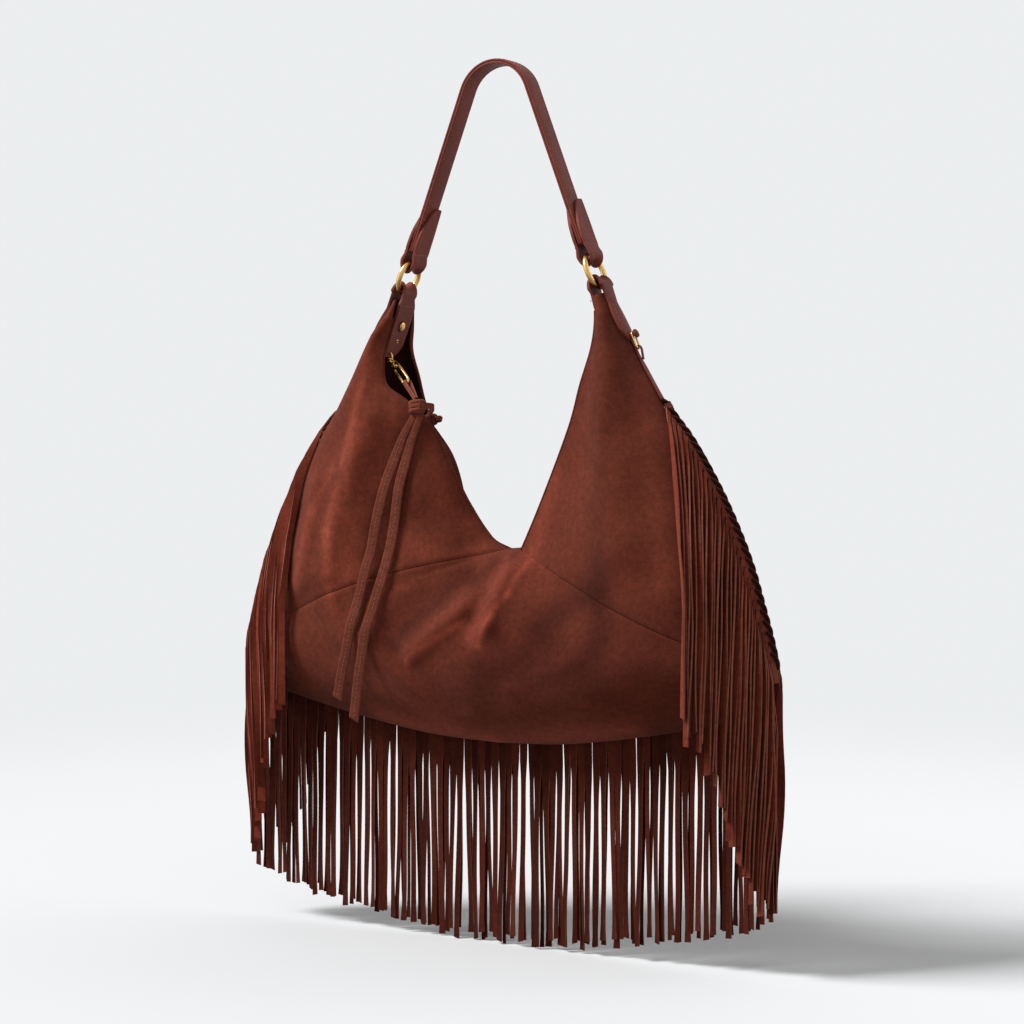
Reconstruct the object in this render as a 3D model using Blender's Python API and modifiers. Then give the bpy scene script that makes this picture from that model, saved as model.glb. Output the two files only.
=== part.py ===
# Fringed suede bag, hung from its leather shoulder strap by two O-rings.
# Sizes are in millimetres, and meshes are made in metres. The origin is on the underside of the
# strap's crown, where a hook or a shoulder carries the bag. X runs across the bag, -Y is its front.
import math
import random

import bmesh
import bpy
from mathutils import Matrix, Vector
from mathutils.bvhtree import BVHTree

MM = 0.001

# Clearances
GAP = 0.35  # between pieces that lie against each other
RING_SIDE_PLAY = 2.2  # leather to wire, across the strap's face
FOLD_PLAY = 0.7  # more room between the wire and the fold, for the rings to turn

# Strap
STRAP_WIDTH = 18.0
STRAP_THICK = 4.2
CROWN_RADIUS = 29.3
LEG_LEAN = math.radians(21)
LEG_LENGTH = 148.5  # from the end of the crown to the ring's centre
STRAP_END = 21.0  # the strap stops this far above the ring's centre

# O-rings
RING_RADIUS = 12.6
RING_WIRE = 2.05

# Leather tabs
TAB_THICK = 2.2
TAB_WIDTH = 20.0
TIP_SKEW = 0.8  # how far a tab's narrowed tip lies to one edge of it
KNUCKLE_WIDTH = 15.0  # where a tab goes through a ring
STRAP_TAB_LENGTH = 56.0
TONGUE_WIDTH = {-1: 22.0, 1: 14.0}  # left and right
TONGUE_LENGTH = 62.0  # from the ring's centre to the tip, inside the mouth
SADDLE_LENGTH = {-1: 24.0, 1: 31.0}  # along the side seams, left and right
RIVET_DROP = 37.0  # from the ring's centre to the tongue's rivet

# Suede body
SUEDE = 1.8
HALF_WIDTH = 225.0
BODY_HEIGHT = 333.0  # from the horns to the bottom seam
HORN_HALF = 3.0  # half of the horn's depth across the tab's face
HORN_START = 18.7  # from the ring's centre to the suede
HORN_BULGE = 4.0
HORN_SWELL = {-1: 12.0, 1: 8.0}  # added just below the horn's tip
WING_BULGE = 44.0
BELLY_BULGE = 50.0
SIDE_SLOPE = {-1: 0.7, 1: 1.1}  # how gently the suede leaves a seam: left side, right side, belly
BELLY_SLOPE = 0.7
SEAM_HALF = (1.1, 1.8)  # from a seam's middle to each panel's edge, at the sides and the bottom
YOKE_GAP = 0.9
YOKE_DROP = 0.81  # where the yoke seams meet the side seams, as a share of the body's height
PIPING = 1.2  # radius of the mouth's rolled edge
WING_CELLS = (14, 9)
BASE_CELLS = (24, 9)

# Side seam and bottom seam, from horn to middle, as shares of half the width and of the height
SIDE_SHAPE = [(0.486, 0.106), (0.612, 0.248), (0.700, 0.325), (0.804, 0.441), (0.891, 0.568),
              (0.942, 0.674), (0.977, 0.758), (0.996, 0.834), (0.969, 0.889), (0.867, 0.915),
              (0.578, 0.958), (0.267, 0.991), (0.0, 1.0)]

# Mouth edge from each horn to the middle: across, down from the horn, and out from the mid-plane
MOUTH_RIGHT = [(86.8, 16.0, 10.6), (86.4, 38.0, 14.0), (79.0, 66.0, 17.5), (68.9, 97.0, 16.0),
               (44.8, 148.0, 11.0), (25.3, 184.5, 6.5)]
MOUTH_FRONT_LEFT = [(87.0, 16.0, 15.5), (92.6, 40.0, 18.0), (87.4, 64.0, 24.0), (69.4, 77.0, 24.0),
                    (52.0, 93.0, 20.0), (35.0, 127.0, 14.6), (20.8, 157.0, 9.0), (5.5, 179.4, 5.5)]
MOUTH_BACK_LEFT = [(87.0, 16.0, 15.5), (90.0, 36.0, 18.0), (87.5, 58.0, 25.0), (82.0, 78.0, 25.0),
                   (70.0, 101.0, 21.0), (54.0, 129.0, 15.5), (36.0, 150.0, 9.5), (12.0, 179.4, 6.0)]
MOUTH_LOW_LEFT = (-7.0, 189.0, 5.2)
MOUTH_LOW_RIGHT = (-22.0, 188.0, 5.8)

# Fringe
FRINGE_THICK = 1.2
STRAND_WIDTH = 4.0
BOTTOM_STRANDS = 76
BOTTOM_LENGTH = 150.0
SIDE_STRANDS = 18
SIDE_TOP_DROP = 0.248  # the side fringe starts here, as a share of the body's height
SIDE_END_DROP = 0.83
SIDE_LENGTHS = (231.0, 202.0, 194.0, 199.0, 195.0, 168.0)  # from the top strand to the last
CURTAIN_FRONT = (176.0, 50.0)  # where the first strand ends, across and out from the mid-plane
CURTAIN_SIDE = (229.0, 4.5)
LACING = 2.6

# Small hardware
SMALL_WIRE = 0.8
CLASP_RING = 4.2
CLASP_EYE = 2.8
EYE_LAP = 2.0  # how far the eye's wire reaches into the clasp ring
HOOK_LENGTH = 27.0
HOOK_HALF = 3.5
HOOK_TURN = 0.75  # radians, about its own axis, away from facing the front
HOOK_WIRE = 1.0
STUD_NECK = 1.2
STUD_HEAD = 2.9
SIDE_RING_LENGTH = 13.0
SIDE_RING_HALF = 2.7
STUD_INSET = 2.6  # from the outer tongue's tip to the knob
STRIP_THICK = 1.2
STRIP_NOSE = 0.55  # play between the strip's fold and the long ring
STRIP_TAIL = 9.0
LOOP_THICK = 1.2
LOOP_PLAY = 1.6  # between the hook and the thong loop that hangs in it

# Ties
THONG = 2.2  # radius of the tie's plain round stand-in
KEEPER_HALF = (5.8, 4.0, 5.0)
KEEPER_SPOT = (-53.8, -30.8, -254.0)  # in front of the mouth's left edge
INNER_KEEPER_HALF = (4.0, 3.5, 4.2)
INNER_KEEPER_SPOT = (-57.8, -4.5, -263.8)

LEATHER = ("leather", (0.115, 0.032, 0.022), 0.5, 0.0)
SUEDE_FINISH = ("suede", (0.150, 0.036, 0.020), 0.95, 0.0)
FRINGE_FINISH = ("fringe", (0.115, 0.026, 0.015), 0.95, 0.0)
BRASS = ("brass", (0.72, 0.45, 0.13), 0.22, 1.0)


# Smooth route through a few points, read by share of its length
class Route:
    def __init__(self, points, fine=12):
        ends = [points[0] * 2 - points[1]] + list(points) + [points[-1] * 2 - points[-2]]
        self.dense = [points[0].copy()]
        for a, b, c, d in zip(ends, ends[1:], ends[2:], ends[3:]):
            for k in range(1, fine + 1):
                t = k / fine
                spot = (b * 2 + (c - a) * t + (a * 2 - b * 5 + c * 4 - d) * t ** 2
                        + (b * 3 - a - c * 3 + d) * t ** 3) * 0.5
                self.dense.append(spot)
        self.sums = [0.0]
        for a, b in zip(self.dense, self.dense[1:]):
            self.sums.append(self.sums[-1] + (b - a).length)
        self.length = self.sums[-1]

    def at(self, share):
        want = min(max(share, 0.0), 1.0) * self.length
        low = 0
        while low < len(self.sums) - 2 and self.sums[low + 1] < want:
            low += 1
        step = self.sums[low + 1] - self.sums[low]
        return self.dense[low].lerp(self.dense[low + 1], (want - self.sums[low]) / step)

    def share_at_height(self, z):
        low, high = 0.0, 1.0
        for _ in range(40):
            middle = (low + high) / 2
            if self.at(middle).z > z:
                low = middle
            else:
                high = middle
        return low


def ease(t):
    t = min(max(t, 0.0), 1.0)
    return t * t * (3 - 2 * t)


# Scene helpers
def finish_material(finish):
    name, colour, rough, metal = finish
    material = bpy.data.materials.get(name) or bpy.data.materials.new(name)
    material.use_nodes = True
    shader = material.node_tree.nodes["Principled BSDF"]
    shader.inputs["Base Color"].default_value = (*colour, 1.0)
    shader.inputs["Roughness"].default_value = rough
    shader.inputs["Metallic"].default_value = metal
    material.diffuse_color = (*colour, 1.0)
    return material


def add_object(name, data, finish, smooth=True):
    piece = bpy.data.objects.new(name, data)
    data.materials.append(finish_material(finish))
    bag_parts.objects.link(piece)
    if smooth and isinstance(data, bpy.types.Mesh):
        data.shade_smooth()
        data.set_sharp_from_angle(angle=math.radians(40))
    return piece


def thicken(piece, thick):
    wall = piece.modifiers.new("Thickness", "SOLIDIFY")
    wall.thickness = thick * MM
    wall.offset = 0.0
    wall.use_even_offset = True
    wall.thickness_clamp = 0.0
    return piece


# Grid of nu by nv cells whose corners are placed by a function of two shares, given a thickness
def sheet(name, nu, nv, place, thick, finish):
    bm = bmesh.new()
    bmesh.ops.create_grid(bm, x_segments=nu, y_segments=nv, size=0.5)
    for vert in bm.verts:
        vert.co = place(vert.co.x + 0.5, vert.co.y + 0.5) * MM
    mesh = bpy.data.meshes.new(name)
    bm.to_mesh(mesh)
    bm.free()
    return thicken(add_object(name, mesh, finish), thick)


# Band that follows rows of (centre, half width vector)
def band(name, rows, columns, thick, finish):
    def place(u, v):
        centre, half = rows[round(u * (len(rows) - 1))]
        return centre + half * (2 * v - 1)
    return sheet(name, len(rows) - 1, columns, place, thick, finish)


# Round wire through points
def wire(name, points, radius, finish, closed=False, resolution=2, swell=None):
    curve = bpy.data.curves.new(name, "CURVE")
    curve.dimensions = "3D"
    curve.bevel_depth = radius * MM
    curve.bevel_resolution = resolution
    curve.use_fill_caps = True
    line = curve.splines.new("POLY")
    line.points.add(len(points) - 1)
    for index, point in enumerate(points):
        line.points[index].co = (*(point * MM), 1.0)
        if swell:
            line.points[index].radius = swell[index]
    line.use_cyclic_u = closed
    return add_object(name, curve, finish)


# Mesh copy of a curve, with its caps welded, so that it can be cut or joined
def as_mesh(piece):
    graph = bpy.context.evaluated_depsgraph_get()
    mesh = bpy.data.meshes.new_from_object(piece.evaluated_get(graph))
    bm = bmesh.new()
    bm.from_mesh(mesh)
    bmesh.ops.remove_doubles(bm, verts=bm.verts, dist=1e-6)
    bm.to_mesh(mesh)
    bm.free()
    name = piece.name
    bpy.data.objects.remove(piece)
    solid = bpy.data.objects.new(name, mesh)
    bag_parts.objects.link(solid)
    return solid


def combine(piece, other, operation):
    change = piece.modifiers.new(operation.title(), "BOOLEAN")
    change.operation = operation
    change.object = other
    other.hide_render = True
    other.display_type = "WIRE"
    for home in list(other.users_collection):
        home.objects.unlink(other)
    cutters.objects.link(other)


# Turned piece: a profile of (radius, height) spun about an axis
def turned(name, profile, place, finish, segments=16):
    bm = bmesh.new()
    rows = [bm.verts.new((radius * MM, 0.0, height * MM)) for radius, height in profile]
    edges = [bm.edges.new(pair) for pair in zip(rows, rows[1:])]
    bmesh.ops.spin(bm, geom=rows + edges, cent=(0, 0, 0), axis=(0, 0, 1), angle=math.tau,
                   steps=segments, use_merge=True)
    bmesh.ops.remove_doubles(bm, verts=bm.verts, dist=1e-6)
    bmesh.ops.recalc_face_normals(bm, faces=bm.faces)
    bmesh.ops.transform(bm, matrix=place, verts=bm.verts)
    mesh = bpy.data.meshes.new(name)
    bm.to_mesh(mesh)
    bm.free()
    return add_object(name, mesh, finish)


def frame_at(origin, up, side):
    up = up.normalized()
    side = (side - up * side.dot(up)).normalized()
    turn = Matrix((side, up.cross(side), up)).transposed().to_4x4()
    return Matrix.Translation(origin * MM) @ turn


def circle(centre, radius, along, across, steps):
    return [centre + along * radius * math.cos(math.tau * k / steps)
            + across * radius * math.sin(math.tau * k / steps) for k in range(steps)]


# Strap and rings. A leg runs along `down`, and `out` is the outward normal of the strap's face
WIDE = Vector((0, 1, 0))


def down(side):
    return Vector((side * math.sin(LEG_LEAN), 0, -math.cos(LEG_LEAN)))


def out(side):
    return Vector((side * math.cos(LEG_LEAN), 0, math.sin(LEG_LEAN)))


def crown_end(side):
    centre = Vector((0, 0, STRAP_THICK / 2 - CROWN_RADIUS))
    return centre + out(side) * CROWN_RADIUS


def ring_centre(side):
    return crown_end(side) + down(side) * LEG_LENGTH


def leg_point(side, along, across, y=0.0):
    return ring_centre(side) + down(side) * along + out(side) * across + WIDE * y


def make_strap():
    facets = 9
    step = (math.pi - 2 * LEG_LEAN) / facets
    centre = Vector((0, 0, STRAP_THICK / 2 - CROWN_RADIUS))
    corner_radius = CROWN_RADIUS / math.cos(step / 2)
    crown = []
    for k in range(facets + 1):
        angle = LEG_LEAN + k * step
        crown.append(centre + Vector((-math.cos(angle), 0, math.sin(angle))) * corner_radius)
    leg_rows = 4
    left = [leg_point(-1, -STRAP_END, 0).lerp(crown[0], k / leg_rows) for k in range(leg_rows)]
    right = [leg_point(1, -STRAP_END, 0).lerp(crown[-1], k / leg_rows) for k in range(leg_rows)]
    path = left + crown + right[::-1]
    half = WIDE * (STRAP_WIDTH / 2)
    return band("strap", [(point, half) for point in path], 1, STRAP_THICK, LEATHER)


def make_ring(side, label):
    points = circle(ring_centre(side), RING_RADIUS, down(side), WIDE, 24)
    return wire("ring_" + label, points, RING_WIRE, BRASS, closed=True)


# Where the leather's middle lies inside a ring, and how far that falls away at a distance y
FOLD_RADIUS = RING_RADIUS - RING_WIRE - TAB_THICK / 2 - GAP - FOLD_PLAY


def ring_sag(y):
    return FOLD_RADIUS - math.sqrt(FOLD_RADIUS ** 2 - y ** 2)


# Rows of a leather fold round a ring: (along, across, half width, how much it follows the wire)
def knuckle_rows(toward):
    half_across = RING_WIRE + RING_SIDE_PLAY + TAB_THICK / 2
    rows = []
    for k in range(7):
        angle = math.pi * k / 6
        along = RING_RADIUS - (RING_RADIUS - FOLD_RADIUS) * math.sin(angle)
        half = KNUCKLE_WIDTH / 2 + 1.6 * (1 - math.sin(angle))
        rows.append((toward * along, half_across * math.cos(angle), half, math.sin(angle)))
    return rows


def fold_point(side, row, v, toward):
    along, across, half, follow = row
    y = (2 * v - 1) * half
    inner = min(abs(y), KNUCKLE_WIDTH / 2)
    return leg_point(side, along - toward * ring_sag(inner) * follow, across, y)


def make_strap_tab(side, label):
    layer = STRAP_THICK / 2 + GAP + TAB_THICK / 2
    tip = -STRAP_TAB_LENGTH
    edge = TAB_WIDTH / 2
    outer = [(tip, layer, edge * 0.3, 0), (tip + 3, layer, edge * 0.5, 0), (tip + 11, layer, edge * 0.74, 0),
             (tip + 20, layer, edge * 0.93, 0), (-STRAP_END - 4, layer, edge, 0),
             (-RING_RADIUS - 4.0, layer + 0.5, edge - 1.2, 0)]
    inner = [(along, -across, half, follow) for along, across, half, follow in reversed(outer)]
    rows = outer + knuckle_rows(-1) + inner

    def place(u, v):
        row = rows[round(u * (len(rows) - 1))]
        skew = TIP_SKEW * (edge - row[2]) if row[0] < -STRAP_END else 0.0
        return fold_point(side, row, v, -1) + WIDE * skew
    return sheet("strap_tab_" + label, len(rows) - 1, 6, place, TAB_THICK, LEATHER)


# Body outlines. `side` is -1 for the left half and 1 for the right one
def horn_point(side, across):
    return leg_point(side, HORN_START, across)


HORN_TOP = leg_point(1, HORN_START, 0).z


def side_route(side):
    points = [horn_point(side, HORN_HALF)]
    for across, fall in SIDE_SHAPE:
        points.append(Vector((side * across * HALF_WIDTH, 0, HORN_TOP - fall * BODY_HEIGHT)))
    return Route(points)


def mouth_route(side, back):
    y_sign = 1 if back else -1
    start = horn_point(side, -HORN_HALF) + WIDE * y_sign * (TONGUE_WIDTH[side] / 2 + 1.6)
    shape = MOUTH_RIGHT if side > 0 else (MOUTH_BACK_LEFT if back else MOUTH_FRONT_LEFT)
    points = [start]
    for across, fall, gap in shape:
        points.append(Vector((side * across, y_sign * gap, HORN_TOP - fall)))
    low = MOUTH_LOW_RIGHT if side > 0 else MOUTH_LOW_LEFT
    points.append(Vector((-low[0], y_sign * low[2], HORN_TOP - low[1])))
    return Route(points)


SIDES = {side: side_route(side) for side in (-1, 1)}
MOUTHS = {(side, back): mouth_route(side, back) for side in (-1, 1) for back in (False, True)}
YOKE = {side: SIDES[side].share_at_height(HORN_TOP - YOKE_DROP * BODY_HEIGHT) for side in (-1, 1)}

# Soft folds of the front: ends of the ridge line as (across, down from the horns), width, height
FRONT_FOLDS = [((-92, 90), (-128, 205), 13, 5.0), ((-138, 140), (-149, 215), 10, 3.5),
               ((-62, 110), (-85, 195), 14, -4.0), ((100, 60), (118, 185), 15, 3.5),
               ((132, 95), (150, 200), 13, -3.0), ((-10, 208), (-62, 244), 16, -7.0),
               ((-4, 231), (-46, 264), 9, 4.5), ((25, 198), (22, 242), 11, 6.0),
               ((-84, 262), (-26, 312), 11, 3.0), ((-150, 235), (-122, 270), 13, -3.5),
               ((75, 235), (60, 280), 20, -3.0)]
BACK_FOLDS = [((-95, 100), (-130, 210), 16, 4.0), ((95, 90), (125, 200), 16, 4.0),
              ((0, 205), (-50, 265), 14, -5.0), ((20, 205), (75, 262), 14, 4.5)]


def fold_height(x, z, back):
    total = 0.0
    for start, end, width, height in BACK_FOLDS if back else FRONT_FOLDS:
        a = Vector((start[0], HORN_TOP - start[1]))
        run = Vector((end[0], HORN_TOP - end[1])) - a
        share = (Vector((x, z)) - a).dot(run) / run.length_squared
        off = (Vector((x, z)) - a - run * min(max(share, 0.0), 1.0)).length
        over = max(0.0, -share, share - 1)
        total += height * math.exp(-(off / width) ** 2) * math.exp(-(over * 2) ** 2)
    return total


def panel_edges(part, back, u):
    if part == "base":
        left, right = YOKE[-1], YOKE[1]
        half = SIDES[-1].length * (1 - left)
        t = -half + 2 * half * u
        side = -1 if t < 0 else 1
        low = SIDES[side].at(1 - abs(t) / SIDES[side].length)
        high = MOUTHS[(-1, back)].at(1.0).lerp(MOUTHS[(1, back)].at(1.0), u)
        bulge = WING_BULGE + (BELLY_BULGE - WING_BULGE) * math.sin(math.pi * u)
        bow = 12.0 * (1 - ease(u)) + 2.0 * ease(u)
        return low, high, bulge, bow
    low = SIDES[part].at(u * YOKE[part])
    high = MOUTHS[(part, back)].at(u)
    bulge = HORN_BULGE + HORN_SWELL[part] * ease(u / 0.12)
    bulge += (WING_BULGE - HORN_BULGE - HORN_SWELL[part]) * ease(u ** 0.9)
    bow = (12.0 if part < 0 else 2.0) * u ** 2
    return low, high, bulge, bow


# Middle of the suede at shares u along a panel and v from the outer seam to the mouth
def suede_point(part, back, u, v):
    low, high, bulge, bow = panel_edges(part, back, u)
    y_sign = 1 if back else -1
    spot = low.lerp(high, v)
    spot.z += bow * math.sin(math.pi * v)
    side = part
    if part == "base":
        side = -1 if u < 0.5 else 1
    fullness = SIDE_SLOPE[side]
    if part == "base":
        fullness += (BELLY_SLOPE - SIDE_SLOPE[side]) * ease(2.5 * min(u, 1 - u))
    swell = math.sin(math.pi * v ** 0.8) ** fullness if 0 < v < 1 else 0.0
    spot.y = abs(high.y) * v ** 1.3 + bulge * swell
    spot.y += fold_height(spot.x, spot.z, back) * min(1.0, 3 * v) * min(1.0, 5 * (1 - v))
    seam = SEAM_HALF[1]
    if part != "base":
        seam = SEAM_HALF[0] + (SEAM_HALF[1] - SEAM_HALF[0]) * ease(5 * u - 4)
    spot.y = y_sign * (seam * (1 - v) + spot.y)
    return spot


# The same point lifted off the suede's outer face
def skin(part, back, u, v, lift):
    nudge = 0.01
    here = suede_point(part, back, u, v)
    u0, u1 = max(u - nudge, 0), min(u + nudge, 1)
    along = suede_point(part, back, u1, v) - suede_point(part, back, u0, v)
    v0, v1 = max(v - nudge, 0), min(v + nudge, 1)
    across = suede_point(part, back, u, v1) - suede_point(part, back, u, v0)
    normal = along.cross(across).normalized()
    if normal.dot(here - Vector((0, 0, here.z))) < 0:
        normal = -normal
    return here + normal * (SUEDE / 2 + lift)


def make_panel(name, part, back, nu, nv):
    inset = YOKE_GAP / 2
    rim = SIDES[-1].length

    def place(u, v):
        low, high, _, _ = panel_edges(part, back, 0.5)
        span = rim * (1 - YOKE[-1]) * 2 if part == "base" else rim * YOKE[part]
        top_span = (MOUTHS[(1, back)].at(1) - MOUTHS[(-1, back)].at(1)).length
        if part != "base":
            top_span = MOUTHS[(part, back)].length
        shrink = inset / span * (1 - v) + inset / top_span * v
        if part == "base":
            return suede_point(part, back, shrink + u * (1 - 2 * shrink), v)
        return suede_point(part, back, u * (1 - shrink), v)
    return sheet(name, nu, nv, place, SUEDE, SUEDE_FINISH)


def make_body():
    for back, face in ((False, "front"), (True, "back")):
        make_panel(face + "_left_wing", -1, back, *WING_CELLS)
        make_panel(face + "_right_wing", 1, back, *WING_CELLS)
        make_panel(face + "_base_panel", "base", back, *BASE_CELLS)


def make_piping(back, name):
    edge, inward = [], []
    for part, shares in ((-1, range(WING_CELLS[0])), ("base", (0.0, 0.5)), (1, range(WING_CELLS[0] + 1))):
        for k in shares:
            u = k if part == "base" else k / WING_CELLS[0]
            if part == 1:
                u = 1 - u
            u = max(u, 0.06)
            edge.append(suede_point(part, back, u, 1.0))
            inward.append(edge[-1] - suede_point(part, back, u, 0.94))
    points = []
    for k, spot in enumerate(edge):
        before, after = edge[max(k - 1, 0)], edge[min(k + 1, len(edge) - 1)]
        tangent = (after - before).normalized()
        away = (inward[k] - tangent * inward[k].dot(tangent)).normalized()
        points.append(spot + away * (PIPING + GAP + 0.25))
    return wire(name, points, PIPING, SUEDE_FINISH, resolution=1)


# Bag tab: fold round the ring, tongue in the mouth, saddle over the side seam
TONGUE_HOLE = leg_point(-1, TONGUE_LENGTH - 3.6, -(HORN_HALF + SUEDE / 2 + GAP + TAB_THICK / 2) - 0.8, -4.5)


def make_bag_tab(side, label):
    layer = HORN_HALF + SUEDE / 2 + GAP + TAB_THICK / 2
    start = HORN_START
    inner = [(RING_RADIUS + 3.5, -layer + 0.4, KNUCKLE_WIDTH / 2, 0.45),
             (start + 3, -layer - 0.4, TONGUE_WIDTH[side] / 2, 0)]
    free = [0.0, 0.25, 0.5, 0.75, 0.88, 1.0]
    widths = [1.0, 1.0, 1.0, 0.95, 0.8, 0.5]
    for share, width in zip(free, widths):
        along = start + 8 + (TONGUE_LENGTH - start - 8) * share
        inner.append((along, -layer - 0.8, TONGUE_WIDTH[side] / 2 * width, 0))
    outer = [(RING_RADIUS + 3.5, layer - 0.4, KNUCKLE_WIDTH / 2, 0.45)]
    rows = inner[::-1] + knuckle_rows(1)[::-1] + outer
    saddle = [0.03 + seam_share(side, SADDLE_LENGTH[side]) * k / 5 for k in range(6)]
    reach = [0.16, 0.16, 0.14, 0.115, 0.085, 0.035]
    total = len(rows) + len(saddle)
    lift = GAP + TAB_THICK / 2

    def place(u, v):
        index = round(u * (total - 1))
        if index < len(rows):
            row = rows[index]
            skew = TIP_SKEW * (TONGUE_WIDTH[side] / 2 - row[2]) if row[0] > start + 8 else 0.0
            return fold_point(side, row, v, 1) - WIDE * skew
        u_skin = saddle[index - len(rows)]
        across = 2 * v - 1
        if abs(across) < 0.01:
            crest, _, up = seam_frame(side, u_skin)
            return crest + up * (lift + SUEDE / 2)
        share = max(abs(across) * 1.5 - 0.5, 0.0) * reach[index - len(rows)]
        return skin(side, across > 0, u_skin, share, lift + 0.15)
    tab = sheet("bag_tab_" + label, total - 1, 6, place, TAB_THICK, LEATHER)
    if side < 0:
        drill = turned("tongue_drill", [(0.0, -3.0), (2.0, -3.0), (2.0, 3.0), (0.0, 3.0)],
                       frame_at(TONGUE_HOLE, out(-1), WIDE), LEATHER, 16)
        combine(tab, drill, "DIFFERENCE")
    return tab


def make_rivet(side, label):
    face = -(HORN_HALF + SUEDE / 2 + GAP + TAB_THICK + 0.8 + GAP)
    spot = leg_point(side, RIVET_DROP, face)
    profile = [(0.0, 0.0), (2.0, 0.0), (3.5, 0.3), (3.5, 0.8), (2.6, 1.7), (0.0, 2.1)]
    turned("tab_rivet_" + label, profile, frame_at(spot, -out(side), WIDE), BRASS, 16)


def seam_frame(side, u):
    spot = SIDES[side].at(u * YOKE[side])
    along = SIDES[side].at(u * YOKE[side] + 0.01) - SIDES[side].at(max(u * YOKE[side] - 0.01, 0))
    along.y = 0
    along.normalize()
    lift = WIDE.cross(along)
    if lift.x * side < 0:
        lift = -lift
    return Vector((spot.x, 0, spot.z)), along, lift


def seam_share(side, length):
    return length / (SIDES[side].length * YOKE[side])


# Seam knob, the long ring on it, and the strip that runs from the ring to the lacing
def make_side_strap(side, label):
    start = seam_share(side, SADDLE_LENGTH[side]) + 0.03
    spot, along, lift = seam_frame(side, start - seam_share(side, STUD_INSET))
    base = SUEDE / 2 + 2 * GAP + TAB_THICK
    profile = [(0.0, base + 0.1), (STUD_NECK + 0.9, base + 0.1), (STUD_NECK + 0.9, base + 0.5),
               (STUD_NECK, base + 0.7), (STUD_NECK, base + 2.8), (STUD_HEAD * 0.8, base + 2.9),
               (STUD_HEAD, base + 3.9), (STUD_HEAD * 0.8, base + 4.9), (0.0, base + 5.3)]
    turned("tab_stud_" + label, profile, frame_at(spot, lift, WIDE), LEATHER, 12)

    near = base + 1.75
    far = SUEDE / 2 + 2 * GAP + STRIP_THICK + STRIP_NOSE + SMALL_WIRE
    half_run = SIDE_RING_LENGTH / 2 - SIDE_RING_HALF
    begins = -STUD_NECK - SMALL_WIRE - 0.3
    points = []
    for k in range(14):
        angle = math.tau * k / 14
        run = half_run if math.cos(angle) > 0 else -half_run
        reach = SIDE_RING_LENGTH / 2 + run + SIDE_RING_HALF * math.cos(angle)
        rise = near + (far - near) * reach / SIDE_RING_LENGTH
        points.append(spot + along * (begins + reach) + lift * rise + WIDE * (SIDE_RING_HALF * math.sin(angle)))
    wire("side_ring_" + label, points, SMALL_WIRE, BRASS, closed=True, resolution=1)

    bar = spot + along * (begins + SIDE_RING_LENGTH) + lift * far
    turn = SMALL_WIRE + STRIP_NOSE + STRIP_THICK / 2
    half = WIDE * 1.15
    tail = start + seam_share(side, begins + SIDE_RING_LENGTH - STUD_INSET + STRIP_TAIL)
    flat, _, up = seam_frame(side, tail)
    rows = [(flat + up * (SUEDE / 2 + 2 * GAP + STRIP_THICK * 1.5), half),
            (bar + lift * turn + along * 1.5, half)]
    for k in range(5):
        angle = math.pi * k / 4
        rows.append((bar + lift * turn * math.cos(angle) - along * turn * math.sin(angle), half))
    begin = start + seam_share(side, SIDE_RING_LENGTH)
    end = SIDES[side].share_at_height(HORN_TOP - SIDE_TOP_DROP * BODY_HEIGHT) / YOKE[side]
    end -= seam_share(side, 5.0)
    for k in range(6):
        share = begin + (end - begin) * k / 5
        flat, _, up = seam_frame(side, share)
        rows.append((flat + up * (SUEDE / 2 + GAP + STRIP_THICK / 2), WIDE * 2.4))
    band("side_strip_" + label, rows, 1, STRIP_THICK, LEATHER)


# How far the panels' middle stands out in front of or behind a point, for laying things on them
TREES = {}


def remember_panels():
    for back, face in ((False, "front"), (True, "back")):
        verts, polygons = [], []
        for panel in ("left_wing", "right_wing", "base_panel"):
            mesh = bpy.data.objects[face + "_" + panel].data
            start = len(verts)
            verts += [vert.co / MM for vert in mesh.vertices]
            polygons += [[start + index for index in face.vertices] for face in mesh.polygons]
        TREES[back] = BVHTree.FromPolygons(verts, polygons)


def depth_at(x, z, back, reach=0.0):
    y_sign = 1 if back else -1
    depth = 0.0
    for shift in (-reach, 0.0, reach):
        hit = TREES[back].ray_cast(Vector((x + shift, y_sign * 400, z)), Vector((0, -y_sign, 0)))[0]
        if hit:
            depth = max(depth, abs(hit.y))
    return depth


def clear_of_suede(spot, back):
    room = SUEDE / 2 + FRINGE_THICK / 2 + STRAND_WIDTH / 2 + 1.2
    for _ in range(8):
        near, _, _, gap = TREES[back].find_nearest(spot)
        if gap >= room:
            break
        spot = spot + (spot - near).normalized() * (room - gap + 0.3)
    return spot


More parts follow.
